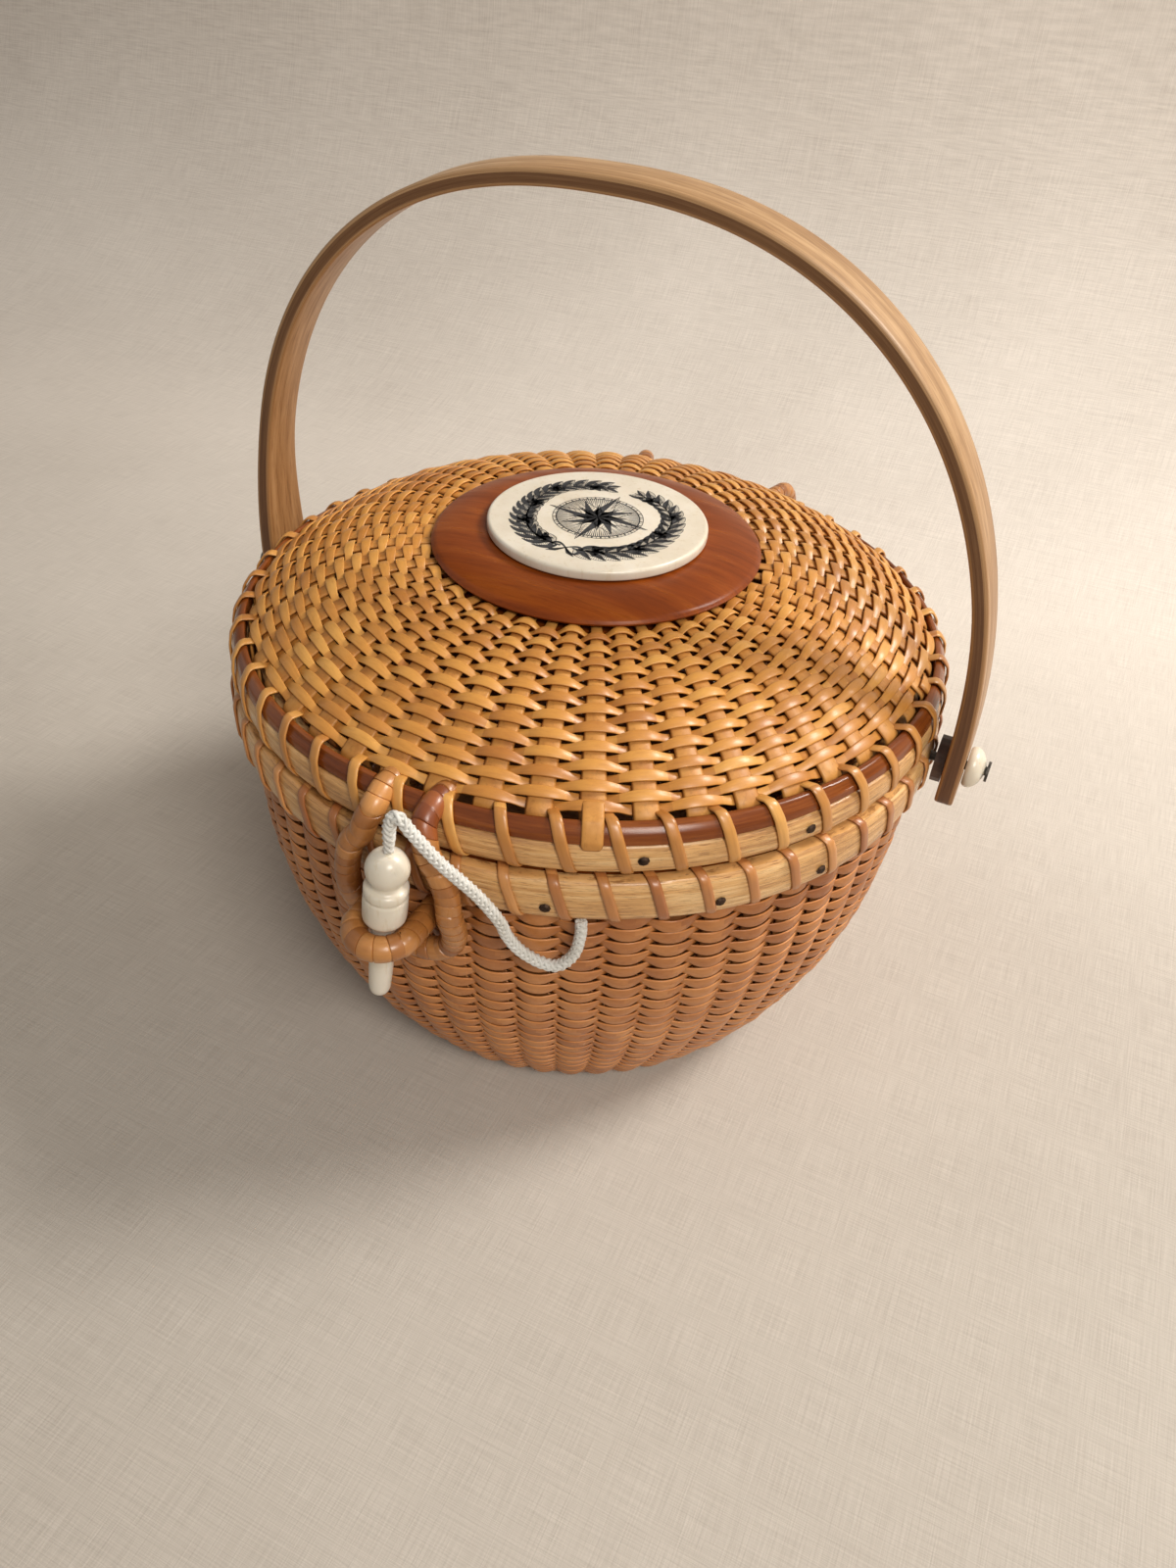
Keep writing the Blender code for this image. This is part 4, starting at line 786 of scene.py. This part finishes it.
def make_plaque():
    upper, lower = 0.001, 0.0006
    outline = [(0, PLAQUE_TOP), *arc((PLAQUE_R - upper, PLAQUE_TOP - upper), upper, 90, 0, 6),
               *arc((PLAQUE_R - lower, PLAQUE_LOW + lower), lower, 0, -90, 4), (0, PLAQUE_LOW)]
    dress(turned("plaque", outline), BONE, "bone", "lid", "lid_plaque")


class Drawing:
    """Flat ink marks on the plaque's face, each a ribbon between two lines of points."""

    def __init__(self, height):
        self.height = height
        self.ribbons = []

    def fill(self, first, second):
        self.ribbons.append((np.asarray(first, float), np.asarray(second, float)))

    def stroke(self, points, width):
        points = np.asarray(points, float)
        side = unit(left_of(np.gradient(points, axis=0)))
        half = side * (np.broadcast_to(width, len(points)) / 2)[:, None]
        self.fill(points - half, points + half)

    def ring(self, radius, width, steps=96):
        ways = circle(np.linspace(0, tau, steps + 1))
        self.fill(ways * (radius - width / 2), ways * (radius + width / 2))

    def leaf(self, root, turn, length, width, bend=0.25):
        """A leaf with one half inked solid, and the other outlined and hatched."""
        t = np.linspace(0, 1, 13)
        ways = circle(turn + bend * (t - 0.3))
        rib = np.array(root) + np.concatenate([[(0, 0)], np.cumsum(ways[1:] * length / 12, 0)])
        swell = left_of(ways) * (np.sin(pi * t**0.8) ** 0.9 * width / 2)[:, None]
        self.fill(rib, rib + swell)
        edge = rib - swell
        self.stroke(edge, 0.00016)
        self.stroke(rib, 0.00018)
        for k in range(2, 12):
            self.stroke([rib[k - 1], rib[k - 1] + (edge[k] - rib[k - 1]) * 0.95], 0.00013)

    def blossom(self, centre, size, turn):
        """Five pointed petals round a dark heart."""
        for k in range(5):
            self.leaf(centre, turn + tau * k / 5, size, size * 0.62, 0.15)
        ball = circle(np.linspace(0, tau, 15))
        self.fill(centre + ball * 0.00001, centre + ball * size * 0.22)

    def star_point(self, turn, reach, waist, notch):
        """One point of the compass star: half of it solid, the other half hatched."""
        tip = circle(turn) * reach
        corner = circle(turn + notch) * waist
        self.fill([(0, 0), tip * 0.5, tip], [corner, (corner + tip) / 2, tip * 1.0001])
        corner = circle(turn - notch) * waist
        self.stroke([corner, (corner + tip) / 2, tip], 0.00018)
        self.stroke([(0, 0), corner * 0.5, corner], 0.00014)
        for k in range(1, 9):
            self.stroke([tip * k / 9, corner + (tip - corner) * k / 9], 0.00011)

    def make(self, name):
        bm = bmesh.new()
        for ribbon in self.ribbons:
            lows, highs = ([bm.verts.new((x, y, self.height)) for x, y in side] for side in ribbon)
            for k in range(len(lows) - 1):
                bm.faces.new((lows[k], lows[k + 1], highs[k + 1], highs[k]))
        bmesh.ops.remove_doubles(bm, verts=bm.verts, dist=1e-8)
        bmesh.ops.dissolve_degenerate(bm, edges=bm.edges, dist=1e-8)
        for face in bm.faces:
            face.normal_update()
            if face.normal.z < 0:
                face.normal_flip()
        mesh = bpy.data.meshes.new(name)
        bm.to_mesh(mesh)
        bm.free()
        piece = bpy.data.objects.new(name, mesh)
        scene.collection.objects.link(piece)
        return piece


def draw_star(shade, art):
    for k in range(120):
        way = circle(tau * k / 120)
        shade.stroke([way * (0.0052 + 0.0016 * (k % 3)), way * 0.0112], [0.00008, 0.0003])
    points = ((8, 0.5, 0.0078, 0.0028), (4, 0.5, 0.0104, 0.0038), (4, 0, 0.0146, 0.0038))
    for count, shift, reach, waist in points:
        for k in range(count):
            art.star_point(tau * (k + shift) / count, reach, waist, pi / count)
    inner, outer = 0.0113, 0.0123
    art.ring(inner, 0.00034)
    art.ring(outer, 0.00018)
    for k in range(64):
        way = circle(tau * k / 64)
        art.stroke([way * inner, way * outer], 0.00042 if k % 2 else 0.00014)


def draw_wreath(shade, art, side):
    """One branch of the wreath, from the bow at the foot up one side."""
    turns = FRONT + side * np.radians(np.linspace(5, 172, 73))
    stem = circle(turns) * (0.0196 + 0.0005 * np.sin(np.linspace(0, 11, 73)))[:, None]
    art.stroke(stem, np.linspace(0.0007, 0.00026, 73))
    for k in range(17):
        at = 1 + 4 * k
        ahead = turns[at] + side * pi / 2
        size = 1.0 - 0.012 * k
        shade.leaf(stem[at], ahead - side * 0.75, 0.007 * size, 0.0034 * size, side * 0.55)
        art.leaf(stem[at + 2], ahead + side * 0.75, 0.0062 * size, 0.0031 * size, -side * 0.55)
        art.leaf(stem[at + 3], ahead - side * 0.35, 0.0052 * size, 0.0022 * size, side * 0.3)
    for k in range(5):
        art.blossom(stem[8 + 14 * k] * (1.03 if k % 2 else 0.97), 0.003 - 0.0001 * k, 0.4 * k + side)


def draw_bow(art, way, knot=-0.02):
    loop = np.linspace(0, pi, 16)
    high = knot + 0.0021 * np.sin(2 * loop) - 0.0005 * np.sin(loop)
    art.stroke(np.stack([way * 0.0042 * np.sin(loop), high], -1), 0.0004 + 0.0008 * np.sin(loop))
    end = [(0, knot), (way * 0.0018, knot - 0.0024), (way * 0.004, knot - 0.0036)]
    art.stroke(end, [0.0004, 0.001, 0.0002])


def make_engraving():
    """A compass star inside a full wreath of leaves and blossoms: an old, common seafaring pattern."""
    shade, art = Drawing(PLAQUE_TOP + 0.00003), Drawing(PLAQUE_TOP + 0.00006)
    draw_star(shade, art)
    for side in (1, -1):
        draw_wreath(shade, art, side)
    for side in (-1, 1):
        draw_bow(art, side)
    drawn = join("plaque_engraving", [art.make("plaque_engraving"), shade.make("shading")])
    dress(drawn, ink_material(), "dark_wood", "lid")


make_base()
make_plate()
make_plaque()
make_engraving()


# Handle

def make_handle():
    """A flat strap bent along a rounded arch, wider and thicker at its feet, whose ends are rounded."""
    half_span, height, power = 0.1102, 0.1297, 2.3
    foot_drop, foot_width, foot_thick, strap_width, strap_thick = 0.0088, 0.0175, 0.0048, 0.013, 0.004
    arch = circle(np.linspace(0, pi, 150))
    x = half_span * np.sign(arch[:, 0]) * np.abs(arch[:, 0]) ** (2 / power)
    z = height * np.abs(arch[:, 1]) ** (2 / power)
    drop = -foot_drop * np.array([1.0, 0.97, 0.9, 0.78, 0.6, 0.4, 0.2])
    share = np.array([0.8, 0.88, 0.945, 0.985, 1.0, 1.0, 1.0])
    x = np.concatenate([np.full(7, half_span), x, np.full(7, -half_span)])
    z = np.concatenate([drop, z, drop[::-1]])
    flare = np.clip(1 - np.maximum(z, 0) / 0.052, 0, 1)
    flare = flare * flare * (3 - 2 * flare)
    width = strap_width + (foot_width - strap_width) * flare
    width[:7] *= share
    width[-7:] *= share[::-1]
    thick = strap_thick + (foot_thick - strap_thick) * flare
    middle = np.stack([x, z], -1)
    inward = left_of(unit(np.gradient(middle, axis=0)))
    section = []
    for w, t in zip(width, thick):
        ring = eased([(-w / 2, 0), (w / 2, 0), (w / 2, t), (-w / 2, t)], 0.001, 3)
        section.append(ring + [ring[0]])
    section = np.array(section)
    places = middle[:, None] + inward[:, None] * section[..., 1:]
    places = np.stack([places[..., 0], section[..., 0], places[..., 1]], -1)
    made = settle(skin("handle_strap", places, sharp=50), lean((0, 0, PIN_Z), HANDLE_TILT, "X"))
    dress(made, HANDLE_WOOD, "handle_wood", "handle", "handle")


def make_knobs():
    bore, inner, radius, shoulder = 0.00129, 0.1105, 0.0056, 0.1105 + 0.0012
    for side, way in (("left", -1), ("right", 1)):
        profile = [(bore, inner), (0.0048, inner), (0.0053, inner + 0.0004), (radius, shoulder)]
        profile += arc((0, shoulder), (radius, 0.0037), 0, 90, 8)[1:-1]
        profile += [(bore, inner + 0.00488), (bore, inner)]
        knob = settle(turned("knob_" + side, profile, 48), lean((0, 0, PIN_Z), pi / 2 * way, "Y"))
        dress(knob, BONE, "bone", "basket", "handle_knob_" + side)


make_handle()
make_knobs()


# Wound cane bands

def frames(points, closed):
    """Two directions across a line at each of its points, carried along without twist."""
    ways = unit(np.roll(points, -1, 0) - np.roll(points, 1, 0) if closed else np.gradient(points, axis=0))
    first = np.cross(ways[0], (0.0, 0.0, 1.0))
    if np.linalg.norm(first) < 0.2:
        first = np.cross(ways[0], (0.0, 1.0, 0.0))
    sides = [unit(first)]
    for way in ways[1:]:
        sides.append(unit(sides[-1] - way * np.dot(sides[-1], way)))
    sides = np.array(sides)
    ups = np.cross(ways, sides)
    if closed:
        last = sides[-1] - ways[0] * np.dot(sides[-1], ways[0])
        twist = atan2(np.dot(last, ups[0]), np.dot(last, sides[0]))
        turn = -twist * np.arange(len(points)) / len(points)
        c, s = np.cos(turn)[:, None], np.sin(turn)[:, None]
        sides, ups = sides * c + ups * s, ups * c - sides * s
    return sides, ups


def smooth_line(points, step, closed):
    """Even points along a smooth line through given ones, and its length."""
    points = [Vector(p) for p in points]
    count = len(points)
    dense = []
    for start in range(count if closed else count - 1):
        near = (start - 1, start, start + 1, start + 2)
        a, b, c, d = (points[k % count if closed else min(max(k, 0), count - 1)] for k in near)
        for part in range(12):
            t = part / 12
            m, n, rise = (c - a) / 2, (d - b) / 2, c - b
            dense.append(b + m * t + (rise * 3 - m * 2 - n) * t * t + (m + n - rise * 2) * t**3)
    dense.append(points[0] if closed else points[-1])
    dense = np.array(dense)
    at = lengths(dense)
    pieces = max(round(at[-1] / step), 3)
    return read(at[-1] * np.arange(pieces if closed else pieces + 1) / pieces, at, dense), at[-1]


def wound_band(name, points, radius, wrap, slant=0.3, relief=0.00038):
    """A closed core closely wound with cane: flat turns with a narrow groove between them."""
    fractions, heights = np.array([
        (0.0, 0.0), (0.05, 0.72), (0.13, 0.92), (0.36, 1.0), (0.62, 1.05), (0.86, 1.08), (0.96, 0.95)]).T
    base, length = smooth_line(points, 0.0004, True)
    at = np.arange(len(base) + 1) / len(base)
    wraps, per = round(length / wrap), len(fractions)
    rng = np.random.default_rng(len(name))
    tone = rng.normal(0, 0.1, wraps + 1)
    slants = slant * (1 + rng.normal(0, 0.25, wraps + 1))
    i = np.arange(wraps * per + 1)
    number = (i // per) % wraps
    place = i // per + fractions[i % per]
    turn = np.linspace(0, tau, 21)
    share = (place[:, None] / wraps + slants[number][:, None] * radius * np.cos(turn) / length) % 1.0
    thick = radius - relief + relief * heights[i % per] * (1 + tone[number])
    middle, sides, ups = (
        read(share, at, np.concatenate([table, table[:1]])) for table in (base, *frames(base, True)))
    return skin(name, beside(middle, sides, ups, turn, thick[:, None]), closed=True, counts=wraps, sharp=40)


def ring_points():
    inner = -(STAVE_IN - 0.0059)
    path = arc((0, PEG_Y), RING_HALF, 0, -180, 8) + arc((0, inner), RING_HALF, 180, 0, 8)
    return [(x, y, RING_Z) for x, y in path]


def hasp_points():
    hoop_face = HOOP_R + STRIP + 2 * GAP + HASP_BAND
    lid_face = LID_R + STRIP + 2 * GAP + HASP_BAND
    bar_face = float(wall_radius(RING_Z)) + 2 * GAP + HASP_BAND
    bar = RING_Z - RING_BAND - HASP_BAND - 0.0066
    leg = RING_HALF + RING_BAND + HASP_BAND + 0.0007
    inside = LID_INNER_IN - GAP - HASP_BAND
    corner_low, corner_in = LID_HOOP_TOP - 0.0022, LID_R - 0.0016
    top = 0.0065
    half = [
        (0, bar_face, bar), (leg * 0.48, bar_face, bar), (leg * 0.83, bar_face, bar + HASP_BAND),
        (leg, (bar_face - GAP + hoop_face) / 2, RING_Z - RING_BAND), (leg, hoop_face, BODY_LOW),
        (leg * 0.97, hoop_face, (BODY_LOW + SEAM) / 2), (leg * 0.84, hoop_face, SEAM),
        (leg * 0.64, (hoop_face + lid_face) / 2, (SEAM + corner_low) / 2), (top * 1.2, lid_face, corner_low),
        (top, (lid_face + corner_in) / 2 + HASP_BAND / 4, LID_HOOP_TOP + HASP_BAND / 2),
        (top, corner_in, HASP_HIGH), (top, LID_IN, HASP_HIGH), (top, (LID_IN + inside) / 2, HASP_HIGH),
        (top * 0.9, inside + HASP_BAND / 2, HASP_HIGH), (top * 0.55, inside - HASP_BAND / 3, HASP_HIGH),
        (0, inside - HASP_BAND / 3, HASP_HIGH),
    ]
    half = [(x, -sqrt(radius**2 - x * x), z) for x, radius, z in half]
    return half + [(-x, y, z) for x, y, z in half[1:-1]][::-1]


def hinge_points(turn):
    corner = 0.006
    outer = HOOP_R + STRIP + 3 * GAP + HINGE_BAND - corner
    inner = STAVE_IN - GAP - 0.003 - 0.0046 + corner
    high = HINGE_HIGH - corner
    low = BODY_LOW - STRIP - 3 * GAP - HINGE_BAND + corner
    middles = ((outer, high), (inner, high), (inner, low), (outer, low))
    path = [arc(middle, corner, 90 * k, 90 * k + 90, 4) for k, middle in enumerate(middles)]
    path = np.concatenate(path)
    return in_space(path[:, 0], turn, path[:, 1])


def hasp_material():
    """The hasp's cane, with a few glossy red-brown wraps on one shoulder and a pale cut end on the other."""
    line, length = smooth_line(hasp_points(), 0.0004, True)
    share = np.arange(len(line)) / len(line)
    x, y, z = line.T
    outside = np.hypot(x, y) > LID_IN
    red = share[outside & (x > 0) & (z > 0.1165)]
    cut = share[outside & (x < 0) & (z > 0.1222)]
    rind, pale = (0.62, 0.4, 0.36), (1.35, 1.45, 1.6)
    bands = [(0, WHITE), (red.min(), rind), (red.max(), WHITE), (cut.min(), pale), (cut.max(), WHITE)]
    return cane_material("hasp_cane", *WOUND, wraps=round(length / HASP_WRAP), rind=bands)


def make_wound_pieces():
    ring = wound_band("wound_ring", ring_points(), RING_BAND, 0.0031, 0.12)
    dress(ring, WOUND_CANE, "wrapped_cane", "basket", "staple_ring")
    hasp = wound_band("wound_hasp", hasp_points(), HASP_BAND, HASP_WRAP)
    dress(hasp, hasp_material(), "wrapped_cane", None, "hasp_loop")
    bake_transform(hasp)
    for side, way in (("right", -1), ("left", 1)):
        loop = wound_band("wound_hinge_" + side, hinge_points(BACK + way * HINGE_TURN), HINGE_BAND, 0.0025)
        dress(loop, WOUND_CANE, "wrapped_cane", None, "hinge_loop_" + side)
        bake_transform(loop)


make_wound_pieces()


# Peg and cord

def make_peg():
    """A turned pin with a round head. Heights count from the middle of the staple ring."""
    head_z, head_r, body_r = 0.0203, 0.0051, 0.0052
    profile = [(0, head_z + head_r), *arc((0, head_z), head_r, 90, 90 - 134, 16)[1:]]
    profile += [
        (0.00375, 0.0158), (0.004, 0.0154), (0.0046, 0.0152), (0.005, 0.0149), (body_r, 0.0145),
        (body_r, 0.013), (0.0051, 0.0127), (0.00485, 0.0124), (0.00485, 0.0121), (0.0051, 0.0118),
        (body_r, 0.0115), (0.00525, 0.009), (body_r, 0.0056), (0.0051, 0.0047), (0.0048, 0.0042),
        (0.0042, 0.0032), (0.0034, 0.0021), (0.0031, 0.0008), (0.003, -0.002), (0.00295, -0.008),
        (0.0029, -0.015), (0.0027, -0.021), (0.0023, -0.0226), (0.0016, -0.0234), (0.0008, -0.0237),
        (0, -0.0238),
    ]
    peg = settle(turned("bone_peg", profile, 64, 60), lean((0, PEG_Y, RING_Z), PEG_TILT, "Y"))
    dress(peg, BONE, "bone", "peg", "peg")


CORD_ROUTE = (
    (0.0031, -0.1114, 0.1192), (0.00345, -0.1114, 0.1227), (0.0039, -0.1115, 0.1269),
    (0.0052, -0.1117, 0.13), (0.0073, -0.1116, 0.1298), (0.0093, -0.1111, 0.1267),
    (0.0147, -0.1091, 0.1188), (0.0212, -0.1043, 0.1076), (0.0254, -0.1018, 0.0993),
    (0.0264, -0.1004, 0.0942), (0.029, -0.0986, 0.0887), (0.0332, -0.0962, 0.0843),
    (0.0372, -0.0944, 0.0833), (0.0404, -0.0928, 0.0872), (0.0413, -0.0916, 0.0928),
    (0.0411, -0.0912, 0.0974),
)


def tube(name, middle, radii, sides):
    across, ups = frames(middle, False)
    turn = np.linspace(0, tau, sides + 1)
    return skin(name, beside(middle[:, None], across[:, None], ups[:, None], turn, radii[:, None]))


def make_cord():
    """A tube braided of eight threads, each over two and under two, round a plain core."""
    line, length = smooth_line(CORD_ROUTE, 0.00032, False)
    across, ups = frames(line, False)
    at = np.linspace(0, length, len(line))
    narrow = 0.8 + 0.2 * np.clip((at - 0.0015) / 0.003, 0, 1)
    core, radius, lay, thread, wave = 0.0008, 0.00098, 0.0068, 0.0005, 0.00014
    strands = [tube("cord_core", line, core * narrow, 12)]
    for number in range(8):
        way = 1 if number < 4 else -1
        turn = way * tau * at / lay + tau * (number % 4) / 4
        crossing = 2 * (number % 4) + way * 8 * at / lay
        reach = radius * narrow + way * wave * np.cos(pi / 2 * (crossing - 0.5))
        strands.append(tube("strand", beside(line, across, ups, turn, reach), thread * narrow, 6))
    cord = join("braided_cord", strands)
    dress(cord, cord_material(), "cord_braid", None, "peg_cord")
    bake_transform(cord)


make_peg()
make_cord()


# Nodes of the solids that are kept as they are

KEPT = {
    "handle_pin": PIN_METAL, "handle_spacer": WALNUT, "basket_nail": NAIL_METAL, "lid_nail": NAIL_METAL,
    "basket_rim_filler": STRIP_WOOD, "lid_rim_filler": STRIP_WOOD,
}
for node_name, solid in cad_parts.items():
    for start, material in KEPT.items():
        if node_name.startswith(start):
            solid.data.materials.clear()
            solid.data.materials.append(material)


# Floor, backdrop and light

def make_stage():
    """A cloth that lies flat and bends up behind the basket."""
    width, depth, front, bend_at, bend = 6.4, 3.2, -1.3, 0.28, 0.25
    clear_selection()
    bpy.ops.mesh.primitive_grid_add(x_subdivisions=60, y_subdivisions=90, size=1)
    cloth = bpy.context.object
    cloth.name = "linen_cloth"
    for vert in cloth.data.vertices:
        y = (vert.co.y + 0.5) * depth + front
        z = 0.0
        rise = y - bend_at
        if rise > 0:
            turn = min(rise / bend, pi / 2 * 0.92)
            beyond = max(rise - bend * turn, 0)
            z = bend * (1 - cos(turn)) + beyond * sin(turn)
            y = bend_at + bend * sin(turn) + beyond * cos(turn)
        vert.co = (vert.co.x * width, y, z - 0.0002)
    cloth.data.materials.append(linen_material())
    bpy.ops.object.shade_smooth()


LAMPS = (
    ("window_light", (0.75, 0.45, 1.05), 0.4, 12.0, (1.0, 0.97, 0.92)),
    ("front_light", (0.72, -0.66, 0.98), 0.5, 9.5, (1.0, 0.95, 0.88)),
)


def make_light():
    """Round lamps that face the basket's middle, and a room that looks brighter than it shines."""
    for name, place, size, power, colour in LAMPS:
        data = bpy.data.lights.new(name, "AREA")
        data.shape = "DISK"
        data.size = size
        data.energy = power
        data.color = colour
        lamp = bpy.data.objects.new(name, data)
        lamp.location = place
        lamp.rotation_euler = (Vector((0, 0, 0.08)) - lamp.location).to_track_quat("-Z", "Y").to_euler()
        scene.collection.objects.link(lamp)
    scene.world = bpy.data.worlds.new("room")
    room = Look(scene.world)
    rays = room.node("LightPath").outputs
    seen = room.math("MAXIMUM", rays["Is Camera Ray"], rays["Is Glossy Ray"])
    seen = room.math("MAXIMUM", seen, rays["Is Transmission Ray"])
    strength = room.remap(seen, 0.0, 1.0, 0.22, 0.62)
    room.feed(room.tree.nodes["Background"], {"Color": (0.9, 0.88, 0.84), "Strength": strength})


make_stage()
make_light()
scene.view_settings.view_transform = "Standard"
